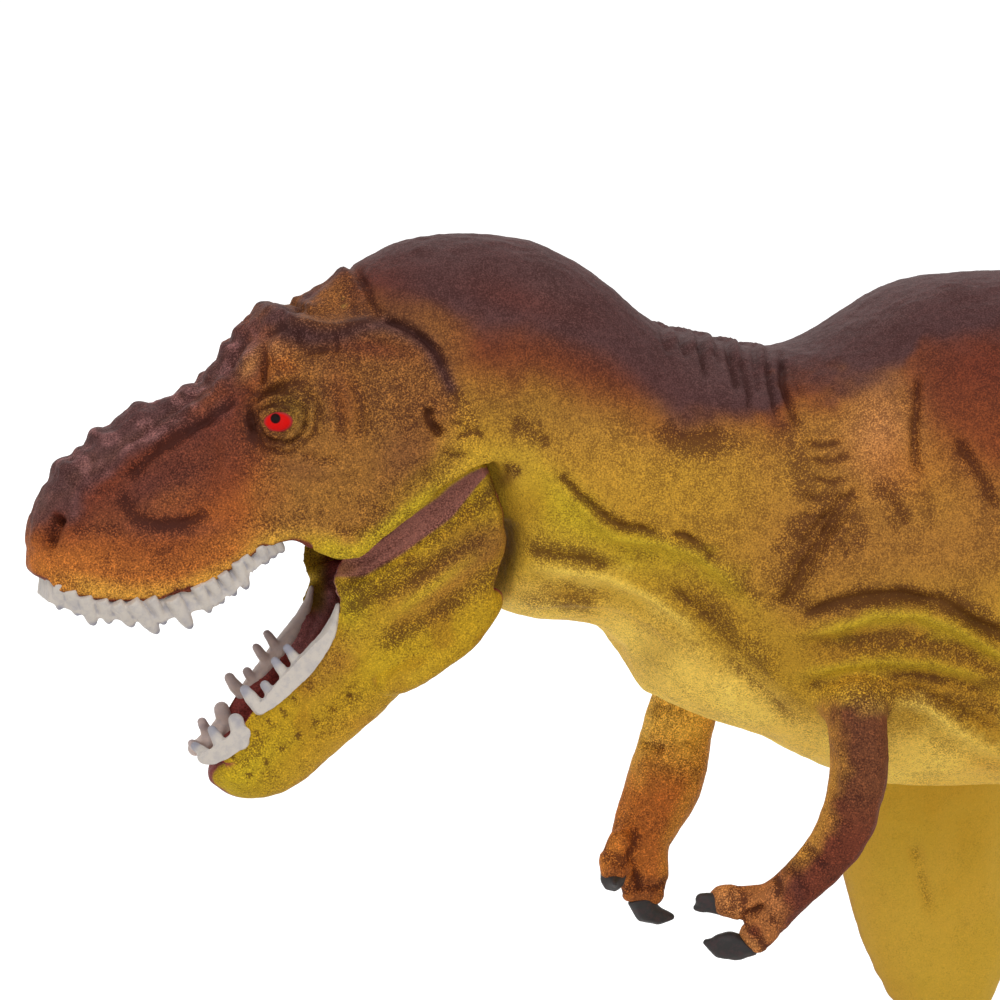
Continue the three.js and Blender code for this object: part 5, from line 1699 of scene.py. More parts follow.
    @staticmethod
    def spray(pixels: np.ndarray, across: float, down: float, long: float, wide: float,
              tilt: float = 0.0) -> np.ndarray:
        """Makes a soft patch of spray.

        Args:
            pixels: Each point's pixel.
            across: The patch's middle, from the left.
            down: The patch's middle, from the top.
            long: Half its length.
            wide: Half its width.
            tilt: How far its length turns clockwise from level, in degrees.

        Returns:
            1 in its middle, falling to 0, for each point.
        """
        turn = math.radians(tilt)
        offset = pixels - np.array((across, down))
        ahead = offset @ np.array([math.cos(turn), math.sin(turn)]) / long
        aside = offset @ np.array([-math.sin(turn), math.cos(turn)]) / wide
        return np.exp(-(ahead**2 + aside**2))

    def paint_head(self, spot: Callable, x: np.ndarray, y: np.ndarray, pixels: np.ndarray) -> None:
        """Sprays the head: orange and rust on the snout, tan on the cheek and a pale lip.

        Args:
            spot: Makes a soft patch.
            x: Pixels across, with some drift.
            y: Pixels down, with some drift.
            pixels: Rows of true pixels.
        """
        skin = self.skin
        blotch = smooth_step(-0.1, 0.5, cell_noise(skin.points / MM, 0.5, 20))
        head = smooth_step(478, 430, x) * above(x, y, ((20, 640), (500, 640)), 5)
        front = smooth_step(300, 230, x)
        lip = pixels[:, 1] - line_height(pixels[:, 0], LIP_LINE)
        crown = above(x, y, SLATE_LINE, 14)
        skin.coat(PAINT.tan, 0.9 * head * (1 - crown))
        skin.coat(PAINT.ochre, 0.35 * spot(330, 500, 70, 34, -10) + 0.3 * spot(360, 420, 50, 50))
        skin.coat(PAINT.orange, 0.85 * front * (1 - crown))
        skin.coat(PAINT.rust, 0.7 * front * (1 - crown) * smooth_step(-24, -60, lip))
        skin.coat(PAINT.red_brown, 0.7 * front * (1 - crown) * smooth_step(-60, -105, lip))
        spray_spots(skin, spot, (
            (PAINT.plum, (0.7, 196, 440, 42, 14, -38), (0.6, 150, 500, 34, 30, -30)),
            (PAINT.plum, (0.6, 165, 528, 60, 10, 2), (0.5, 86, 512, 30, 24)),
            (PAINT.orange, (0.55, 172, 498, 30, 13, -24)),
            (PAINT.rust, (0.6, 205, 460, 24, 26, -36)),
            # painted shade: a rust streak and a dark patch deepen the nostril's hollow
            (PAINT.rust, (0.75, 50, 534, 9, 24, 26)),
            (PAINT.shade, (0.5, 53, 528, 5, 17, 26)),
            (PAINT.orange, (0.6, 40, 560, 14, 26)),
        ))
        ridge = ((20, 522), (60, 508), (112, 484), (150, 458), (180, 430), (206, 413), (236, 393), (262, 374))
        behind = smooth_step(274, 246, x)
        skin.coat(PAINT.red_brown, 0.55 * above(x, y - 22, ridge, 20) * behind)
        skin.coat(PAINT.slate, 0.8 * above(x, y, ridge, 13) * behind)
        # painted highlight: patchy pinkish light on the bumps of the nasal ridge, strongest where they face up
        ridge_highlight = smooth_step(-0.2, 0.5, cell_noise(skin.points / MM, 1.5, 17)) * above(x, y, ridge, 20) * behind
        skin.coat(PAINT.gum, 0.32 * ridge_highlight * smooth_step(0.1, 0.9, skin.normals[:, 2]))
        spray_spots(skin, spot, (
            (PAINT.plum, (0.62, 190, 466, 62, 30, -36), (0.3, 140, 488, 24, 18, -30)),
            (PAINT.red_brown, (0.3, 170, 552, 60, 22, -4)),
        ))
        skin.coat(PAINT.umber, 0.42 * head * (1 - crown) * smooth_step(250, 310, x))
        spray_spots(skin, spot, (
            (PAINT.umber, (0.48, 405, 505, 34, 12, -34), (0.28, 276, 494, 34, 32), (0.25, 372, 396, 44, 26)),
            (PAINT.plum, (0.4, 402, 456, 28, 32), (0.3, 336, 402, 15, 40, -12), (0.3, 440, 468, 40, 11, -38)),
            (PAINT.plum, (0.3, 300, 468, 40, 12, 18), (0.6, 392, 294, 44, 24, 24)),
            (PAINT.honey, (0.3, 306, 536, 56, 12, -4)),
            (PAINT.rust, (0.55, 213, 398, 26, 10, -42)),
        ))
        edge = smooth_step(-24, -4, lip) * smooth_step(30, 80, x) * smooth_step(320, 270, x)
        skin.coat(PAINT.honey, 0.62 * head * edge)
        skin.wash_and_shade = skin.wash_and_shade * (1 - 0.5 * head * edge)
        skin.coat(PAINT.lime, 0.75 * head * smooth_step(-26, -8, lip) * smooth_step(290, 330, x))
        spray_spots(skin, spot, (
            (PAINT.olive, (0.5, 300, 545, 34, 10), (0.45, 430, 478, 60, 14, -38)),
            (PAINT.tan, (0.55, 352, 540, 12, 6, -6)),
            (PAINT.peach, (0.75, 250, 364, 8, 17, 28)),
            (PAINT.peach, (0.7, 277, 349, 9, 10, -30)),
            (PAINT.orange, (0.55, 285, 366, 13, 7, 20)),
            (PAINT.red_brown, (0.5, 356, 288, 44, 22, -18)),
            (PAINT.tan, (0.42, 334, 296, 12, 24, 40)),
        ))
        skin.coat(PAINT.cream, 0.4 * spot(342, 301, 4, 6) * blotch)
        spray_spots(skin, spot, (
            (PAINT.slate, (0.75, 304, 333, 17, 10), (0.6, 268, 318, 30, 14)),
            (PAINT.red_brown, (0.7, 370, 348, 54, 12, 6)),
        ))
        crest, along = to_segments(pixels, ((284, 330), (312, 338), (338, 335), (362, 327), (385, 324),
                                            (408, 332), (428, 345), (440, 366), (451, 388)))
        skin.coat(PAINT.slate, 0.85 * np.exp(-((crest / (13 - 6 * along)) ** 2)))
        spray_spots(skin, spot, (
            (PAINT.moss, (0.7, 288, 412, 27, 24)),
            # painted shade: a dark line in the groove in front of the eye
            (PAINT.shade, (0.6, 250, 424, 9, 24, -6)),
            (PAINT.rust, (0.35, 345, 400, 14, 36, -10)),
        ))

    def paint_markings(self, pixels: np.ndarray, spot: Callable) -> None:
        """Sprays the soft dark streaks and the light edges of the folds.

        Args:
            pixels: Each point's pixel.
            spot: Makes a soft patch.
        """
        skin = self.skin
        streaks = (
            (((856, 474), (836, 504), (812, 546), (788, 592), (770, 618)), 26, 0.62),
            (((790, 622), (812, 612), (850, 602), (904, 594), (944, 602), (1000, 634), (1060, 660)), 11, 0.75),
            (((812, 650), (860, 642), (920, 642), (980, 664), (1040, 690)), 12, 0.5),
            (((820, 700), (880, 694), (950, 700), (1010, 716), (1100, 744)), 12, 0.45),
            (((880, 696), (930, 702), (980, 732)), 10, 0.5),
            (((640, 428), (664, 434), (692, 446), (722, 440), (760, 446)), 15, 0.6),
            (((780, 400), (790, 440), (806, 480), (800, 520)), 20, 0.45),
            (((556, 476), (580, 498), (604, 518), (640, 530), (700, 552), (748, 590), (790, 626)), 9, 0.55),
            (((660, 572), (716, 612), (752, 650), (790, 690)), 18, 0.42),
            (((510, 540), (540, 552), (590, 558), (624, 574)), 12, 0.5),
            (((510, 606), (560, 602), (610, 602)), 9, 0.4),
            (((506, 424), (522, 428), (544, 440)), 13, 0.55),
            (((860, 486), (892, 496), (912, 528)), 12, 0.5),
            (((918, 368), (916, 430), (920, 480)), 9, 0.5),
            (((950, 432), (978, 473), (1002, 516)), 12, 0.5),
            (((1180, 600), (1260, 560), (1330, 600)), 22, 0.4),
            (((1040, 470), (1100, 560), (1130, 650)), 24, 0.4),
            (((1200, 470), (1240, 540), (1250, 600)), 24, 0.35),
        )
        wobble = 1 + 0.45 * cell_noise(pixels, 21, 73) + 0.3 * cell_noise(pixels, 9, 74)
        for line, width, cover in streaks:
            share = soft_line(pixels, line, STREAK_WIDTH * width / wobble)
            skin.wash_and_shade = np.maximum(skin.wash_and_shade, STREAK_COVER * cover * share)
        edges = (
            (PAINT.lime, ((540, 470), (566, 502), (600, 534), (662, 546), (700, 560), (730, 584), (760, 612)),
             11, 0.5),
            (PAINT.lime, ((790, 639), (835, 630), (876, 618), (915, 617), (953, 631), (1000, 657),
                          (1050, 669)), 9, 0.6),
            (PAINT.lime, ((790, 679), (830, 671), (880, 664), (930, 666), (1000, 682)), 7, 0.5),
            (PAINT.cream, ((886, 709), (905, 704), (926, 709), (952, 729), (981, 747), (1020, 761)), 8, 0.7),
            (PAINT.cream, ((520, 566), (557, 572), (605, 579), (644, 596), (680, 621), (704, 645)), 8, 0.55),
        )
        for colour, line, width, cover in edges:
            share = soft_line(pixels, line, width / wobble)
            skin.coat(colour, cover * share)
            skin.wash_and_shade *= 1 - EDGE_CLEARING * share
        spray_spots(skin, spot, (
            (PAINT.bronze, (0.7, 566, 596, 30, 9)),
            (PAINT.bronze, (0.45, 655, 655, 26, 26)),
            (PAINT.umber, (0.6, 508, 477, 16, 8, -40), (0.5, 508, 545, 14, 22)),
        ))

    def paint_limbs(self) -> None:
        """Sprays the arms brown with orange fingers, and the legs golden inside and brown outside."""
        skin = self.skin
        points = skin.points / MM
        own, _ = skin.seen()
        x, y = own.T
        drift = 8 * cell_noise(points, 4, 15) + 5 * cell_noise(points, 1.6, 16)
        blotch = smooth_step(-0.1, 0.6, cell_noise(points, 2.6, 18))
        near = skin.blur(self.of_nodes("left_arm"), 5)
        start = smooth_step(690, 722, y + drift)
        front = line_height(y, ((700, 838), (790, 840), (830, 832), (860, 812), (900, 770)))
        skin.coat(PAINT.umber, near * start)
        skin.coat(PAINT.red_brown, 0.75 * near * smooth_step(780, 850, y + drift))
        skin.coat(PAINT.amber, 0.75 * near * start * smooth_step(12, -14, x + drift - front)
                  * smooth_step(885, 850, y))
        skin.coat(PAINT.shade, 0.35 * near * blotch * smooth_step(850, 880, y))
        fingers = near * smooth_step(792, 770, x + drift) * smooth_step(860, 880, y)
        skin.coat(PAINT.orange, 0.7 * fingers)
        skin.coat(PAINT.umber, 0.4 * fingers)
        skin.coat(PAINT.plum, 0.45 * near * self.spray(own, 785, 894, 24, 26))
        skin.coat(PAINT.peach, 0.3 * fingers * (1 - blotch))
        skin.coat(PAINT.red_brown, 0.8 * fingers * blotch)
        skin.coat(PAINT.peach, 0.4 * near * self.collar)
        far = skin.blur(self.of_nodes("right_arm"), 5)
        start = smooth_step(722, 800, y + drift)
        skin.coat(PAINT.honey, 0.8 * far)
        skin.coat(PAINT.bronze, 0.5 * far * blotch)
        skin.coat(PAINT.orange, 0.9 * far * start)
        back = smooth_step(-8, 14, x + drift - line_height(y, ((740, 650), (860, 610))))
        skin.coat(PAINT.rust, 0.55 * far * start * back * 0.8)
        front = line_height(y, ((731, 716), (751, 712), (788, 699), (837, 676)))
        skin.coat(PAINT.amber, 0.6 * far * smooth_step(-22, -4, x - front))
        skin.coat(PAINT.umber, 0.5 * far * smooth_step(830, 870, y + drift) * blotch)
        for name, side in (("left_leg", -1.0), ("right_leg", 1.0)):
            leg = skin.blur(self.of_nodes(name), 5) * smooth_step(0.1, 0.068, skin.points[:, 2])
            outer = smooth_step(-0.35, 0.55, skin.normals[:, 1] * side)
            patches = smooth_step(-0.6, 0.8, cell_noise(points @ SLANT + 0.2 * drift[:, None], 6, 19))
            skin.coat(PAINT.honey, leg)
            skin.coat(PAINT.olive, leg * (0.35 + 0.35 * patches))
            skin.coat(PAINT.cream, 0.3 * leg)
            skin.coat(PAINT.lime, 0.3 * leg)
            skin.coat(PAINT.ochre, leg * outer * 0.8)
            skin.coat(PAINT.tan, leg * outer * 0.7 * smooth_step(0.085, 0.05, skin.points[:, 2]))
            skin.coat(PAINT.red_brown, leg * (0.25 + 0.5 * outer)
                      * smooth_step(0.034, 0.014, skin.points[:, 2]))
            skin.coat(PAINT.amber, leg * 0.25 * smooth_step(-0.2, -0.8, skin.normals[:, 0]))
            skin.coat(PAINT.shade, leg * outer * 0.2 * patches)

    def paint_mouth(self, pixels: np.ndarray) -> None:
        """Paints palate and throat dark red and damp.

        Args:
            pixels: Each point's pixel.
        """
        skin = self.skin
        front = smooth_step(-0.084, -0.09, skin.points[:, 0])
        head = np.maximum(self.of_nodes("skull"), self.of_nodes(*TRUNK_NODES) * front)
        turned_in = skin.normals[:, 1] * np.sign(skin.points[:, 1]) < -0.3
        palate = (skin.normals[:, 2] < -0.5) & (np.abs(skin.points[:, 1]) < 0.0145)
        inside = skin.blur(head * (turned_in | palate) * smooth_step(440, 480, pixels[:, 1]), 3)
        skin.coat(PAINT.red_brown, np.clip(inside * 1.2, 0, 1))
        skin.wet = 0.5 * np.clip(inside, 0, 1)

    def split(self, materials: dict[Slot, bpy.types.Material]) -> None:
        """Cuts the chosen pieces out of the skin.

        Args:
            materials: The finish for each slot.
        """
        slots = {"skull": Slot.HEAD, "left_arm": Slot.ARM, "right_arm": Slot.ARM, "left_leg": Slot.LEG,
                 "right_leg": Slot.LEG}
        for name in self.pieces:
            slot = slots.get(name, Slot.BODY)
            if name in TRUNK_NODES:
                continue
            piece = cut_piece(self.skin, f"{name}_skin", [FIXED_NODES.index(name)])
            finish_piece(piece, name, Body.FIGURE, materials[slot])
        if TRUNK_NODES[0] in self.pieces:
            trunk = cut_piece(self.skin, "trunk_skin", [FIXED_NODES.index(name) for name in TRUNK_NODES])
            for name, side in zip(TRUNK_NODES, (-1.0, 1.0)):
                finish_piece(halve(trunk, f"{name}_skin", side), name, Body.FIGURE,
                             materials[Slot.BODY])
            bpy.data.objects.remove(trunk)


@dataclass
class LowerJaw:
    """The moving jaw: its skin, with the cheek's pink fold and the dark red inside."""

    corner: Blob = Blob(((384, 680), (402, 675), (422, 668), (442, 654), (464, 637), (484, 613), (493, 600)),
                        (1.6, 2.0, 2.2, 2.2, 2.2, 2.1, 1.8), depth=-0.0105, squash=1.5, both_sides=True)
    underside: tuple = ((200, 770), (232, 797), (262, 800), (290, 787), (350, 738), (396, 701), (450, 667),
                        (500, 624))
    slope: tuple[float, float] = (0.634, 0.774)
    falls: tuple = ((215, 232, 250, 275, 300, 380, 400, 430), (0.0, 3.5, 6.5, 10.5, 11.0, 9.5, 6.0, 0.0))

    voxel: float = 0.00032
    quick_voxel: float = 0.0006
    facet_reach: float = 0.0017
    gum_line: tuple = ((226, 758, 1.1), (244, 744, 1.4), (262, 722, 1.8), (278, 704, 1.9), (294, 688, 1.9),
                       (306, 672, 1.9), (320, 656, 1.8), (332, 636, 1.5))
    membrane: tuple = (
        Blob(((336, 566), (318, 574)), (1.3, 1.2), depth=0.009),
        Blob(((328, 594), (306, 598)), (1.3, 0.95), depth=0.009),
        Blob(((320, 612), (302, 616)), (1.2, 0.8), depth=0.009),
    )
    flange: tuple = ((337, 568), (360, 564), (395, 543), (446, 507), (474, 480), (488, 470))
    marks: tuple = (
        Stroke(((337, 559), (367, 550), (399, 528), (446, 492), (488, 468)), 4, 0.5, 0.0, 0.1),
        Stroke(((340, 568), (370, 559), (404, 536), (448, 502), (484, 474)), 4, -0.3, 0.15, 0.1),
        Stroke(((334, 580), (352, 582), (392, 562), (446, 527), (480, 488)), 4, -0.6, 0.35, 0.1),
        Stroke(((344, 592), (372, 584), (410, 560), (450, 536), (488, 500)), 7, 0.6, 0.0),
        Stroke(((350, 606), (390, 594), (430, 570), (470, 540), (500, 514)), 7, -0.5, 0.3),
        Stroke(((386, 616), (430, 592), (474, 560), (506, 530)), 8, 0.5),
        Stroke(((392, 640), (440, 612), (490, 576)), 8, -0.45, 0.25),
        Stroke(((420, 648), (460, 622), (496, 596)), 8, 0.4),
        Stroke(((352, 618), (344, 648), (326, 676), (300, 704)), 8, -0.5, 0.25),
        Stroke(((366, 622), (356, 656), (336, 686)), 8, 0.4),
        Stroke(((340, 598), (338, 616), (344, 640)), 5, 0.4),
        Stroke(((270, 736), (240, 762), (222, 780)), 7, 0.45),
        Stroke(((236, 766), (250, 756), (268, 732)), 5, -0.45, 0.3),
        Stroke(((300, 740), (330, 716), (360, 680)), 10, -0.3, 0.1),
        Mound((228, 774), (16, 10), 0.5),
        Mound((262, 772), (18, 10), -0.35, -30, 0.1),
        *(Mound((246 + 17 * i, 772 - 13 * i), (4.5, 3.5), -0.5, 0, 0.55) for i in range(7)),
        *(Stroke(((232 + 13 * i, 754 - 11 * i), (238 + 13 * i, 764 - 11 * i)), 2.6, -0.25, 0.4, 0.3)
          for i in range(7)),
        Stroke(((498, 484), (510, 504), (516, 534)), 7, -0.5, 0.5),
    )

    def build(self, material: bpy.types.Material) -> None:
        """Builds, sculpts and paints the jaw.

        Args:
            material: Its finish.
        """
        voxel = self.voxel
        gum = clay_rail(np.array(self.gum_line), 3 * len(self.gum_line), -0.0012, 1.5, MM)
        pieces = [grown_copy("lower_jaw", 0.0), *gum, *self.corner.build()]
        for blob in self.membrane:
            pieces += blob.build()
        skin = Skin.of_pieces(pieces, voxel)
        out = skin.normals[:, 1] * np.sign(skin.points[:, 1])
        inside = skin.blur((out < 0.05).astype(float), 3)
        skin.relax(int(2 * (self.facet_reach / voxel) ** 2), 1 - 0.93 * inside)
        pixels, facing = skin.mirrored()
        skin.sculpt(self.marks, pixels, facing, 1 - inside)
        points = skin.points / MM
        noise = (0.12 * cell_noise(points, 4.5, 31) + 0.09 * cell_noise(points, 1.8, 32)
                 + 0.05 * cell_noise(points, 0.9, 33))
        skin.push(noise * (1 - 0.5 * inside))
        make_room(skin, 0.6)
        self.sag(skin, pixels)
        pixels, _ = skin.mirrored()
        inside = inside * (1 - smooth_step(368, 378, pixels[:, 0]) * smooth_step(640, 652, pixels[:, 1]))
        self.paint(skin, pixels, inside)
        piece = cut_piece(skin, "lower_jaw_skin", [0])
        finish_piece(piece, "lower_jaw", Body.JAW, material)

    def paint(self, skin: Skin, pixels: np.ndarray, inside: np.ndarray) -> None:
        """Sprays green and ochre outside, brown streaks to the back, painted shade in the hollow behind the
        corner of the mouth, the pink fold and the dark red inside.

        Args:
            skin: The jaw's skin.
            pixels: Each point's pixel.
            inside: 1 on the inner faces.
        """
        spot = partial(BodySkin.spray, pixels)
        drift = cell_noise(skin.points / MM, 3, 35)
        skin.coat(PAINT.olive, 1.0)
        skin.coat(PAINT.bronze, 0.55 * smooth_step(0.1, 0.7, drift))
        spray_spots(skin, spot, (
            (PAINT.lime, (0.6, 250, 775, 60, 24, -30), (0.4, 384, 650, 40, 40, -40)),
            (PAINT.honey, (0.35, 350, 740, 90, 24, -38)),
            (PAINT.tan, (0.8, 448, 576, 84, 26, -38)),
            (PAINT.umber, (0.5, 490, 546, 34, 15, -36)),
            (PAINT.bronze, (0.4, 300, 752, 56, 13, -36)),
            (PAINT.tan, (0.5, 330, 660, 24, 44, 30)),
            (PAINT.lime, (0.65, 352, 606, 16, 26, 10), (0.5, 430, 588, 50, 7, -36)),
        ))
        # darker paint along the jaw's grooves, wash and painted shade; the last line lies in the hollow behind
        # the corner of the mouth
        streaks = (((352, 606), (420, 576), (474, 540)), ((392, 640), (440, 612), (494, 574)),
                   ((338, 592), (372, 588), (412, 562)), ((514, 474), (488, 496), (456, 520), (430, 538)))
        for line in streaks:
            gap, _ = to_segments(pixels, line)
            skin.wash_and_shade = np.maximum(skin.wash_and_shade, 0.4 * np.exp(-((gap / 12) ** 2)))
        # painted shade: a dark wedge in the hollow behind the corner of the mouth
        skin.coat(PAINT.shade, 0.75 * spot(500, 482, 18, 16, -40) + 0.3 * spot(466, 540, 40, 12, -40))
        gap, _ = to_segments(pixels, self.flange)
        reach = np.interp(pixels[:, 0], (335, 360, 400, 450, 480, 490), (9, 13, 13.5, 12.5, 6, 2))
        skin.coat(PAINT.pink, 0.95 * smooth_step(1.1, 0.85, gap / reach))
        skin.coat(PAINT.umber, 0.3 * smooth_step(1.1, 0.6, gap / reach))
        skin.coat(PAINT.tan, 0.4 * spot(342, 570, 14, 12))
        self.paint_inside(skin, inside)

    def sag(self, skin: Skin, pixels: np.ndarray) -> None:
        """Lets the underside of the jaw hang as low as in the photograph, down and to the back.

        Args:
            skin: The jaw's skin, which is changed.
            pixels: Each point's pixel.
        """
        height = (line_height(pixels[:, 0], self.underside) - pixels[:, 1]) * self.slope[1]
        fall = np.interp(pixels[:, 0], *self.falls)
        share = fall * smooth_step(60, 10, height) / PIXELS_PER_MM * MM
        skin.points[:, 0] += self.slope[0] * share
        skin.points[:, 2] -= self.slope[1] * share
        skin.update_normals()

    def paint_inside(self, skin: Skin, inside: np.ndarray) -> None:
        """Paints the inside of the mouth a red lighter than its own dark red, as painted light where little
        light reaches in, with a pinkish ridge, a mustard edge on the far side and painted shade deep in the
        corner.

        Args:
            skin: The jaw's skin.
            inside: 1 on the inner faces.
        """
        own, _ = skin.seen()
        # painted light: the red is lighter than the mouth's own dark red, since little light reaches inside
        skin.coat(PAINT.maroon, np.clip(1.25 * inside, 0, 1))
        skin.coat(PAINT.red_brown, 0.55 * inside)
        ridge, _ = to_segments(own, ((298, 648), (318, 618), (337, 584)))
        skin.coat(PAINT.gum, 0.9 * inside * np.exp(-((ridge / 9) ** 2)))
        # painted shade deep in the corner of the mouth
        hollow = BodySkin.spray(own, 318, 600, 9, 12) + BodySkin.spray(own, 326, 574, 7, 9)
        far = smooth_step(0.0, 0.004, skin.points[:, 1])
        edge = far * smooth_step(331, 316, own[:, 0]) * smooth_step(618, 600, own[:, 1])
        skin.coat(PAINT.mustard, 0.95 * edge)
        skin.coat(PAINT.shade, np.clip(0.7 * inside * hollow, 0, 0.8))
        skin.wet = 0.6 * inside
        skin.wash_and_shade *= 1 - 0.8 * inside


# where the jaw turns, along the figure and above the floor in millimetres, and by how many degrees
JAW_HINGE = (-93.0, 114.5)
JAW_SWING = 32
# half the width inside the upper teeth, and the height of their tips, along the figure in millimetres
UPPER_ROOM = ((-144, -142, -139, -136, -133, -130, -127, -124, -121, -118),
              (3.1, 3.8, 4.8, 5.6, 6.1, 6.8, 7.1, 7.8, 8.5, 9.1))
UPPER_EDGE = ((-146, -140, -134, -128, -125, -122, -119, -116),
              (92.4, 92.2, 91.2, 91.9, 94.0, 96.3, 99.6, 103.0))
# half the width between the cheeks beside the hinge, in millimetres
CHEEK_ROOM = 14.3


def row_depth(across: float) -> float:
    """How far the near row of lower teeth stands from the figure's middle, for a pixel's place across."""
    return -float(np.interp(across, (192, 203, 217, 250, 300, 336), (0.8, 2.2, 4.0, 5.3, 6.6, 7.2))) * MM


def clay_rail(rows: np.ndarray, count: int, sink: float, squash: float, unit: float) -> list[bpy.types.Object]:
    """Strings balls of clay along the lower rows of teeth, on both sides of the jaw.

    Args:
        rows: Pixels across and down, and the ball's radius.
        count: How many balls each side gets.
        sink: How far inwards of the near row the balls stand, or outwards if below 0, in metres.
        squash: How thick they are from side to side, as a share of their radius.
        unit: What the radius is given in, in metres.

    Returns:
        The balls.
    """
    balls = []
    for step in np.linspace(0, len(rows) - 1, count):
        across, down, radius = (np.interp(step, np.arange(len(rows)), column) for column in rows.T)
        place = VIEW.on_plane((across, down), row_depth(across) + sink)
        for side in (1.0, -1.0):
            balls.append(clay_ball((place[0], place[1] * side, place[2]), radius * unit, squash))
    return balls


def make_room(skin: Skin, spare: float = 0.0) -> None:
    """Presses the lower mouth in wherever it would meet the upper teeth or the cheeks when the jaw closes.

    Args:
        skin: The skin of the jaw or of its teeth, which is changed.
        spare: How much further in it is pressed beside the teeth, in millimetres.
    """
    turn = math.radians(JAW_SWING)
    x, z = skin.points[:, 0] / MM - JAW_HINGE[0], skin.points[:, 2] / MM - JAW_HINGE[1]
    closed_x = x * math.cos(turn) + z * math.sin(turn) + JAW_HINGE[0]
    closed_z = z * math.cos(turn) - x * math.sin(turn) + JAW_HINGE[1]
    reach = np.interp(closed_x, *UPPER_ROOM)
    tips = np.interp(closed_x, *UPPER_EDGE)
    over = np.clip(np.abs(skin.points[:, 1]) / MM - reach + spare, 0, None)
    press = over * smooth_step(-1.4, -0.3, closed_z - tips) * smooth_step(-114, -117, closed_x)
    cheek = np.clip(np.abs(skin.points[:, 1]) / MM - CHEEK_ROOM, 0, None)
    press = np.maximum(press, cheek * smooth_step(12, 8, np.hypot(x + 2, z + 8)))
    skin.points[:, 1] -= np.sign(skin.points[:, 1]) * press * MM
    skin.update_normals()


@dataclass
class TeethRow:
    """One row of teeth on its white band, with the photograph's tips, and repeated on the far side."""

    node: str
    body: Body
    tips: tuple[tuple[Pixel, Pixel, float], ...]
    band_line: tuple[Pixel, ...] = ()
    voxel: float = 0.00016
    quick_voxel: float = 0.0003
    embed: float = 0.0012

    def build(self, material: bpy.types.Material) -> None:
        """Builds the row.

        Args:
            material: Its finish.
        """
        tree, _ = node_tree([self.node])
        teeth = [self.band()]
        ends = []
        depth = 0.0
        for root, tip, girth in self.tips:
            found = VIEW.hit(root, tree)
            depth = found[0][1] if found else depth
            point = VIEW.on_plane(root, depth - 0.0003)
            end = VIEW.on_plane(tip, depth + 0.0004)
            ends.append(end)
            for side in (1.0, -1.0):
                flip = np.array([1.0, side, 1.0])
                teeth.append(self.tooth(point * flip, end * flip, girth))
        skin = Skin.of_pieces(teeth, self.voxel)
        skin.relax(5, 0.6)
        skin.push(0.05 * cell_noise(skin.points / MM, 0.9, 41) + 0.02 * cell_noise(skin.points / MM, 0.4, 42))
        paint_enamel(skin, np.array(ends), 1.3)
        piece = cut_piece(skin, f"{self.node}_painted", [0])
        finish_piece(piece, self.node, self.body, material)

    def band(self) -> bpy.types.Object:
        """Models the band alone from the node's copy, whose own cones are pressed back to the band's edge.

        Returns:
            The band.
        """
        copy = grown_copy(self.node, -0.00006)
        if not self.band_line:
            return copy
        points = vertex_vectors(copy.data)
        pixels = VIEW.project(points * near_fold(points))
        edge = line_height(pixels[:, 0], self.band_line) + 5
        over = np.where(pixels[:, 1] > edge - 9, pixels[:, 1] - edge, 0.0)
        points[:, 2] += over / PIXELS_PER_MM * MM
        outward = vertex_vectors(copy.data, "normal") * np.array([1.0, 1.0, 0.0])
        outer = np.einsum("ij,ij->i", outward, points - np.array([points[:, 0].max(), 0.0, 0.0])) > 0
        points += outward * (0.00045 * outer * smooth_step(-16, -8, pixels[:, 1] - edge))[:, None]
        copy.data.vertices.foreach_set("co", points.ravel())
        return copy

    def tooth(self, root: np.ndarray, tip: np.ndarray, girth: float) -> bpy.types.Object:
        """Models a tooth by extruding a ring towards its tip.

        Args:
            root: Middle of its foot.
            tip: Its point.
            girth: Width at the foot in millimetres.

        Returns:
            The tooth.
        """
        axis = Vector(tip - root)
        length = axis.length + self.embed
        bpy.ops.object.select_all(action="DESELECT")
        bpy.ops.mesh.primitive_circle_add(vertices=12, radius=girth * MM / 2, fill_type="NGON")
        tooth = bpy.context.object
        bpy.ops.object.mode_set(mode="EDIT")
        bpy.ops.mesh.select_all(action="SELECT")
        for rise, shrink in ((0.34, 0.99), (0.3, 0.9), (0.2, 0.78), (0.11, 0.66), (0.05, 0.5)):
            bpy.ops.mesh.extrude_region_move(TRANSFORM_OT_translate={"value": (0, 0, rise * length)})
            bpy.ops.transform.resize(value=(shrink, shrink, 1))
            bpy.ops.transform.translate(value=(0.02 * length, 0, 0))
        bpy.ops.mesh.select_all(action="SELECT")
        bpy.ops.mesh.normals_make_consistent(inside=False)
        bpy.ops.object.mode_set(mode="OBJECT")
        turn = axis.to_track_quat("Z", "Y").to_matrix().to_4x4()
        foot = Vector(root) - axis.normalized() * self.embed
        tooth.data.transform(Matrix.Translation(foot) @ turn @ Matrix.Diagonal((1, 0.78, 1, 1)))
        return tooth


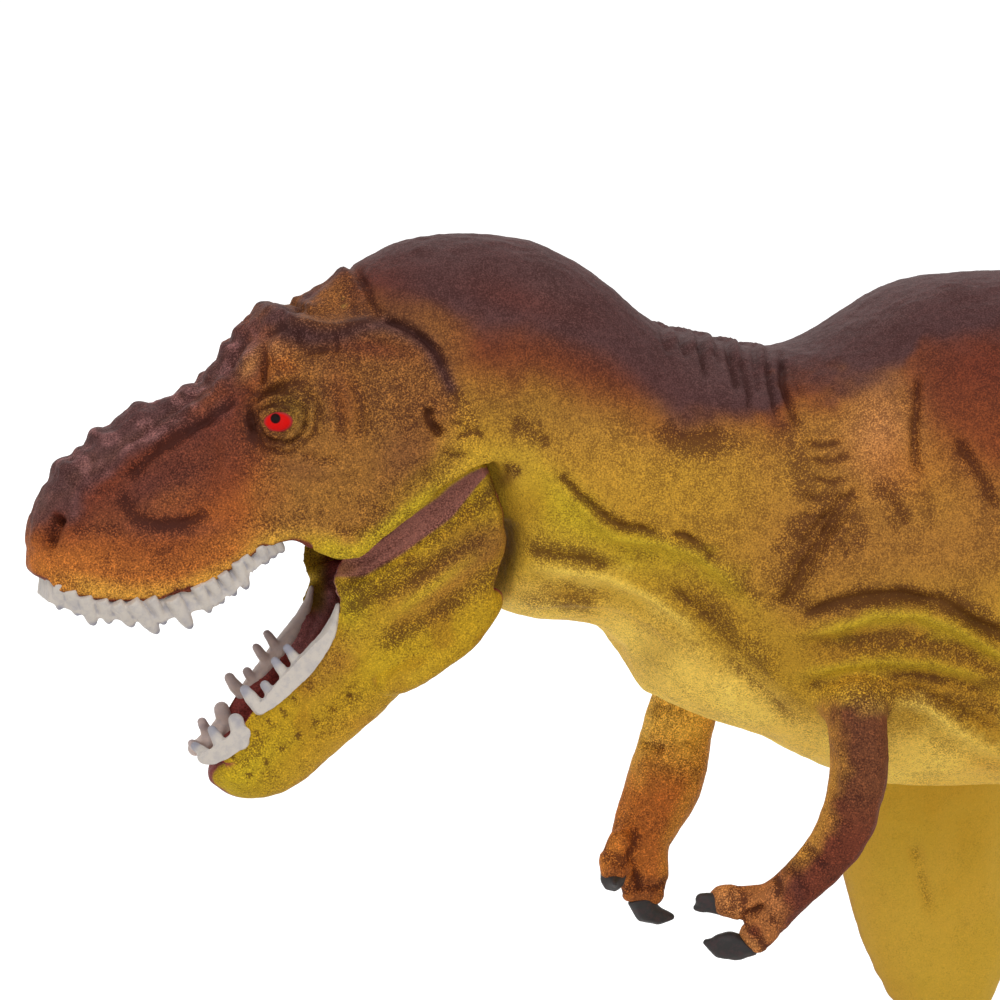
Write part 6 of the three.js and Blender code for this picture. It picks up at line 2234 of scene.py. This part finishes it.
def paint_enamel(skin: Skin, tips: np.ndarray, reach: float) -> None:
    """Paints off-white enamel with grey-lilac over the tips and in patches, and grey-lilac painted shade in the
    hollows between the teeth.

    Args:
        skin: The row's skin.
        tips: Points of the near row's teeth.
        reach: How far the wash runs down from each point, in millimetres.
    """
    skin.coat(PAINT.tooth, 1.0)
    folded = skin.points * near_fold(skin.points)
    gap = np.min(np.linalg.norm(folded[:, None, :] - tips[None, :, :], axis=2), axis=1) / MM
    gap = gap + 0.35 * cell_noise(skin.points / MM, 0.8, 44)
    skin.coat(PAINT.lilac, 0.8 * smooth_step(reach, 0.25 * reach, gap))
    patches = smooth_step(0.1, 0.8, cell_noise(skin.points / MM, 1.6, 43))
    skin.coat(PAINT.lilac, 0.2 * patches)
    # painted shade: grey-lilac in the hollows between the teeth, from how far the surface curves in
    hollow = skin.blur(np.einsum("ij,ij->i", skin.average(skin.points) - skin.points, skin.normals), 2)
    scale = np.percentile(np.abs(hollow), 98) + 1e-12
    skin.coat(PAINT.lilac, 0.5 * smooth_step(0.2, 0.9, hollow / scale))


@dataclass
class LowerTeeth:
    """The lower rows: stubby teeth modelled in clay on a band that tapers up the edge of the jaw."""

    voxel: float = 0.00017
    quick_voxel: float = 0.0003
    teeth: tuple = (
        ((195, 746, 4.5), (203, 752, 6), (212, 758, 7)),
        ((212, 730, 5), (217, 738, 6), (222, 748, 7.5)),
        ((236, 721, 8), (239, 730, 8.5), (241, 741, 9)),
        ((245, 690, 5.5), (252, 699, 7), (260, 708, 7.5)),
        ((265, 685, 5), (270, 692, 6), (276, 698, 6.5)),
        ((275, 661, 4.5), (281, 669, 5.5), (289, 680, 7)),
        ((287, 648, 4.5), (293, 656, 5.5), (300, 667, 7)),
    )
    bands: tuple = (
        ((204, 757, 7), (213, 757, 8), (223, 752, 9), (233, 745, 9), (243, 734, 8)),
        ((261, 709, 5), (270, 702, 7), (284, 688, 9), (302, 669, 10), (316, 652, 9), (328, 635, 7),
         (335, 618, 4.5), (338, 605, 2.6)),
    )

    def build(self, material: bpy.types.Material) -> None:
        """Builds both rows.

        Args:
            material: Their finish.
        """
        pieces = []
        for lines, sink, squash in ((self.teeth, 0.0, 0.9), (self.bands, -0.0008, 1.7)):
            for line in lines:
                pieces += clay_rail(np.array(line, float), 4 * len(line) - 3, sink, squash, MM / PIXELS_PER_MM)
        skin = Skin.of_pieces(pieces, self.voxel, all_parts=True)
        skin.relax(6, 0.6)
        skin.push(0.06 * cell_noise(skin.points / MM, 1.1, 45) + 0.025 * cell_noise(skin.points / MM, 0.5, 46))
        make_room(skin)
        tips = np.array([VIEW.on_plane(line[0][:2], row_depth(line[0][0])) for line in self.teeth])
        paint_enamel(skin, tips, 1.5)
        skin.coat(PAINT.blush, 0.7 * smooth_step(0.0, 0.001, skin.points[:, 1])
                  * smooth_step(0.4, -0.2, skin.normals[:, 1]))
        finish_piece(cut_piece(skin, "lower_teeth_painted", [0]), "lower_teeth", Body.JAW,
                     material)


@dataclass
class Eye:
    """One eye: a painted lens that bulges a little from between the lids, red with a black pupil."""

    node: str
    side: float
    pixel: Pixel = (278, 422)
    pupil_pixel: Pixel = (275.5, 418.5)
    half_width: float = 0.00215
    half_height: float = 0.00145
    bulge: float = 0.0012
    proud: float = 0.00075
    pupil: float = 0.00066
    ring: float = 0.0017

    def build(self, skin: Skin, material: bpy.types.Material) -> None:
        """Builds the eye on the finished skin.

        Args:
            skin: The head's skin.
            material: Its finish.
        """
        pixels, facing = skin.mirrored()
        near = np.flatnonzero((np.hypot(*(pixels - np.array(self.pixel)).T) < 12) & (facing > 0)
                              & (skin.points[:, 1] * self.side > 0))
        seat = skin.points[near].mean(axis=0)
        out = skin.normals[near].mean(axis=0)
        out /= np.linalg.norm(out)
        bpy.ops.object.select_all(action="DESELECT")
        bpy.ops.mesh.primitive_uv_sphere_add(segments=72, ring_count=48, radius=1)
        eye = bpy.context.object
        eye.name = f"{self.node}_lens"
        bpy.ops.object.shade_smooth()
        forward = np.array([-1.0, 0.0, 0.0])
        forward -= out * (forward @ out)
        forward /= np.linalg.norm(forward)
        upward = np.cross(forward, out) * (1 if self.side < 0 else -1)
        axes = Matrix((forward, upward, out)).transposed().to_4x4()
        place = Matrix.Translation(Vector(seat + out * (self.proud - self.bulge)))
        eye.data.transform(place @ axes @ Matrix.Diagonal((self.half_width, self.half_height, self.bulge, 1)))
        if (place @ axes).determinant() < 0:
            eye.data.flip_normals()
        self.paint(eye.data)
        finish_piece(eye, self.node, Body.FIGURE, material)

    def paint(self, mesh: bpy.types.Mesh) -> None:
        """Paints pupil, iris and dark rim.

        Args:
            mesh: The lens.
        """
        points = vertex_vectors(mesh)
        pixels = VIEW.project(points * np.array([1.0, -self.side, 1.0]))
        colour = np.tile(PAINT.eye_red, (len(points), 1))
        gap = np.hypot(*(pixels - np.array(self.pupil_pixel)).T)
        pupil = smooth_step(5.6, 4.6, gap)[:, None]
        rim = np.hypot((pixels[:, 0] - self.pixel[0]) / 14.5, (pixels[:, 1] - self.pixel[1]) / 10)
        rim = smooth_step(0.75, 1.0, rim)[:, None] * 0.75
        colour = colour * (1 - rim) + np.array(PAINT.maroon) * rim
        colour = colour * (1 - pupil) + np.array(PAINT.black) * pupil
        zero = np.zeros(len(points))
        paint_object(mesh, colour, zero, zero)


@dataclass
class Claws:
    """All the claws, rounded from their solids and given a slight unevenness."""

    voxel: float = 0.0002
    fullness: float = 0.00022
    blunt_tips: tuple = (
        ("left_hand_claw_1", Blob(((701, 899), (710, 901)), (0.95, 1.3), depth_of="left_hand_claw_1")),
        ("left_hand_claw_2", Blob(((720, 941), (730, 943)), (1.15, 1.7), depth_of="left_hand_claw_2")),
    )

    def build(self, material: bpy.types.Material) -> None:
        """Builds every claw.

        Args:
            material: Their finish.
        """
        for name in sorted(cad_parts):
            if "claw" not in name:
                continue
            extra = [ball for claw, blob in self.blunt_tips if claw == name for ball in blob.build()]
            skin = Skin.of_pieces([grown_copy(name, self.fullness), *extra], self.voxel)
            skin.relax(16, 0.7)
            points = skin.points / MM
            skin.push(0.07 * cell_noise(points, 1.3, 51) + 0.03 * cell_noise(points, 0.6, 52))
            skin.coat(PAINT.claw, 1.0)
            finish_piece(cut_piece(skin, f"{name}_horn", [0]), name, Body.FIGURE, material)


@dataclass
class Tongue:
    """The tongue, with a groove along its middle and small bumps."""

    voxel: float = 0.0003

    def build(self, material: bpy.types.Material) -> None:
        """Builds the tongue.

        Args:
            material: Its finish.
        """
        skin = Skin.of_pieces([grown_copy("tongue", 0.0)], self.voxel)
        skin.relax(20, 0.6)
        top = smooth_step(0.0, 0.6, skin.normals @ np.array([-0.803, 0.0, 0.596]))
        groove = -0.5 * np.exp(-((skin.points[:, 1] / (0.7 * MM)) ** 2))
        skin.push(top * (groove + 0.07 * cell_noise(skin.points / MM, 0.9, 61)))
        skin.coat(PAINT.gum, 1.0)
        skin.coat(PAINT.maroon, 0.6 * (1 - top))
        finish_piece(cut_piece(skin, "tongue_soft", [0]), "tongue", Body.JAW, material)


@dataclass
class JawPin:
    """The steel pin through the throat, with rounded ends."""

    bevel: float = 0.00035

    def build(self, material: bpy.types.Material) -> None:
        """Builds the pin in the place of its node.

        Args:
            material: Its finish.
        """
        low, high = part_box("jaw_pin")
        middle = (low + high) / 2
        bpy.ops.object.select_all(action="DESELECT")
        bpy.ops.mesh.primitive_cylinder_add(vertices=48, radius=(high.x - low.x) / 2, depth=high.y - low.y,
                                            location=middle, rotation=(math.pi / 2, 0, 0))
        pin = bpy.context.object
        pin.name = "jaw_pin_steel"
        edge = pin.modifiers.new("edge", "BEVEL")
        edge.width = self.bevel
        edge.segments = 4
        bpy.ops.object.modifier_apply(modifier=edge.name)
        bpy.ops.object.transform_apply(location=True, rotation=True, scale=True)
        bpy.ops.object.shade_smooth_by_angle(angle=math.radians(35))
        finish_piece(pin, "jaw_pin", Body.FIGURE, material)


@dataclass
class Studio:
    """Floor, lamps, world and camera."""

    floor_size: float = 24.0
    world_light: float = 0.66
    key_power: float = 4.2
    fill_power: float = 1.0
    rim_power: float = 1.5
    floor_shade: Colour = (0.86, 0.86, 0.86)

    def build(self) -> None:
        """Builds the whole studio."""
        self.floor()
        self.lamp("key_lamp", (-0.45, -0.75, 0.95), 0.6, self.key_power)
        self.lamp("fill_lamp", (0.75, -0.7, 0.45), 0.7, self.fill_power)
        self.lamp("back_lamp", (0.1, 0.8, 0.7), 0.6, self.rim_power)
        self.world()
        self.camera()
        bpy.context.scene.view_settings.view_transform = "Standard"

    def floor(self) -> None:
        """A plain pale floor that looks white to the camera and in gloss, and takes light and shadow."""
        bpy.ops.object.select_all(action="DESELECT")
        bpy.ops.mesh.primitive_plane_add(size=self.floor_size, location=(0, 0, -0.0002))
        floor = bpy.context.object
        floor.name = "floor"
        bpy.ops.object.transform_apply(location=True, rotation=True, scale=True)
        material = bpy.data.materials.new("white_floor")
        material.use_nodes = True
        kit = NodeKit(material.node_tree)
        shader = material.node_tree.nodes["Principled BSDF"]
        shader.inputs["Base Color"].default_value = (*self.floor_shade, 1)
        shader.inputs["Roughness"].default_value = 0.9
        rays = kit.add("LightPath").outputs
        seen = kit.math("MAXIMUM", rays["Is Camera Ray"],
                        kit.math("MAXIMUM", rays["Is Glossy Ray"], rays["Is Transmission Ray"]))
        glow = kit.add("Emission", {"Color": (1, 1, 1, 1), "Strength": 0.5})
        both = kit.add("AddShader", {0: shader.outputs[0], 1: glow.outputs[0]})
        mix = kit.add("MixShader", {0: seen, 1: shader.outputs[0], 2: both.outputs[0]})
        kit.tree.links.new(mix.outputs[0], material.node_tree.nodes["Material Output"].inputs["Surface"])
        floor.data.materials.append(material)

    def lamp(self, name: str, place: tuple[float, float, float], size: float, power: float) -> None:
        """A square soft lamp that points at the figure.

        Args:
            name: Its name.
            place: Where it hangs.
            size: Length of its side.
            power: Its power in watts.
        """
        light = bpy.data.lights.new(name, "AREA")
        light.size = size
        light.energy = power
        lamp = bpy.data.objects.new(name, light)
        lamp.location = place
        aim = Vector(VIEW.target) - Vector(place)
        lamp.rotation_euler = aim.to_track_quat("-Z", "Y").to_euler()
        bpy.context.scene.collection.objects.link(lamp)

    def world(self) -> None:
        """An even white surrounding."""
        world = bpy.data.worlds.new("studio_world")
        world.use_nodes = True
        kit = NodeKit(world.node_tree)
        background = world.node_tree.nodes["Background"]
        rays = kit.add("LightPath").outputs
        seen = kit.math("MAXIMUM", rays["Is Camera Ray"],
                        kit.math("MAXIMUM", rays["Is Glossy Ray"], rays["Is Transmission Ray"]))
        strength = kit.math("ADD", self.world_light, kit.math("MULTIPLY", seen, 1 - self.world_light))
        kit.tree.links.new(strength, background.inputs["Strength"])
        background.inputs["Color"].default_value = (1, 1, 1, 1)
        bpy.context.scene.world = world

    def camera(self) -> None:
        """The photograph's camera."""
        data = bpy.data.cameras.new("photo_camera")
        data.lens = VIEW.lens
        data.sensor_width = VIEW.sensor
        data.clip_start = 0.05
        camera = bpy.data.objects.new("photo_camera", data)
        camera.location = VIEW.place
        camera.rotation_euler = Vector(-VIEW.back).to_track_quat("-Z", "Y").to_euler()
        bpy.context.scene.collection.objects.link(camera)
        bpy.context.scene.camera = camera


UPPER_TIPS = (
    ((60, 591), (62, 610), 1.9),
    ((73, 597), (80, 616), 2.2),
    ((87, 603), (96, 626), 2.6),
    ((104, 606), (112, 624), 2.3),
    ((120, 608), (135, 627), 2.6),
    ((136, 607), (160, 634), 3.0),
    ((154, 604), (167, 625), 2.2),
    ((176, 604), (193, 629), 2.9),
    ((200, 592), (212, 613), 2.3),
    ((213, 586), (225, 604), 2.1),
    ((226, 579), (237, 596), 2.1),
    ((239, 568), (249, 590), 2.3),
    ((248, 560), (257, 570), 1.8),
    ((261, 551), (268, 564), 2.4),
    ((270, 547), (276, 558), 2.1),
    ((278, 544), (284, 553), 1.9),
)
UPPER_BAND = ((30, 590), (60, 600), (75, 606), (90, 612), (104, 613), (135, 616), (160, 618), (175, 611),
              (192, 606), (213, 603), (225, 596), (236, 585), (243, 572), (250, 565), (262, 558), (272, 551),
              (290, 546), (400, 530))


def build_materials() -> dict[Slot, bpy.types.Material]:
    """Builds every finish once.

    Returns:
        The material for each of the record's slots.
    """
    groups = {"speckle": build_speckle_group(), "grain": build_grain_group()}
    finishes = {
        Slot.HEAD: SkinFinish("painted_head", depth=1.0, lift=1.9),
        Slot.BODY: SkinFinish("painted_body", pebble_size=0.0008),
        Slot.ARM: SkinFinish("painted_arm", speckle=1.0, depth=1.0, lift=2.0, pebble=0.8),
        Slot.LEG: SkinFinish("painted_leg", speckle=0.7, depth=0.3, pebble_size=0.0008),
        Slot.JAW: SkinFinish("painted_jaw", depth=0.9, lift=1.7, pebble=0.7),
        Slot.TONGUE: SkinFinish("painted_tongue", speckle=0.2, pebble=0.3, roughness=0.5, coat=0.2),
        Slot.TEETH: HardFinish("enamel_paint", PAINT.tooth, PAINT.lilac, 0.48, mottle=0.25, painted=True),
        Slot.EYES: HardFinish("eye_paint", PAINT.eye_red, PAINT.maroon, 0.4, 0.0006, 0.06, relief=0.0,
                              gloss=0.06, painted=True),
        Slot.CLAWS: HardFinish("claw_black", PAINT.claw, PAINT.slate, 0.5, mottle_size=0.0009, mottle=0.3),
        Slot.STEEL: HardFinish("pin_steel", PAINT.steel, PAINT.slate, 0.28, mottle_size=0.0006, mottle=0.1,
                               relief=0.00001, metallic=1.0),
    }
    return {slot: finish.build(groups) for slot, finish in finishes.items()}


def main() -> None:
    """Builds the figure's looks and the studio."""
    logging.basicConfig(level=logging.INFO, format="%(name)s: %(message)s")
    Studio().build()
    materials = build_materials()
    body = BodySkin(0.00042, 0.0007, FIXED_NODES[1:], low=-0.112)
    body.build()
    body.split(materials)
    head = BodySkin(0.00032, 0.00055, ("skull",), high=-0.066)
    head.build()
    head.split(materials)
    LowerJaw().build(materials[Slot.JAW])
    TeethRow("upper_teeth", Body.FIGURE, UPPER_TIPS, UPPER_BAND).build(materials[Slot.TEETH])
    LowerTeeth().build(materials[Slot.TEETH])
    Eye("left_eye", -1.0).build(head.skin, materials[Slot.EYES])
    Eye("right_eye", 1.0).build(head.skin, materials[Slot.EYES])
    Claws().build(materials[Slot.CLAWS])
    Tongue().build(materials[Slot.TONGUE])
    JawPin().build(materials[Slot.STEEL])


if __name__ == "__main__":
    main()
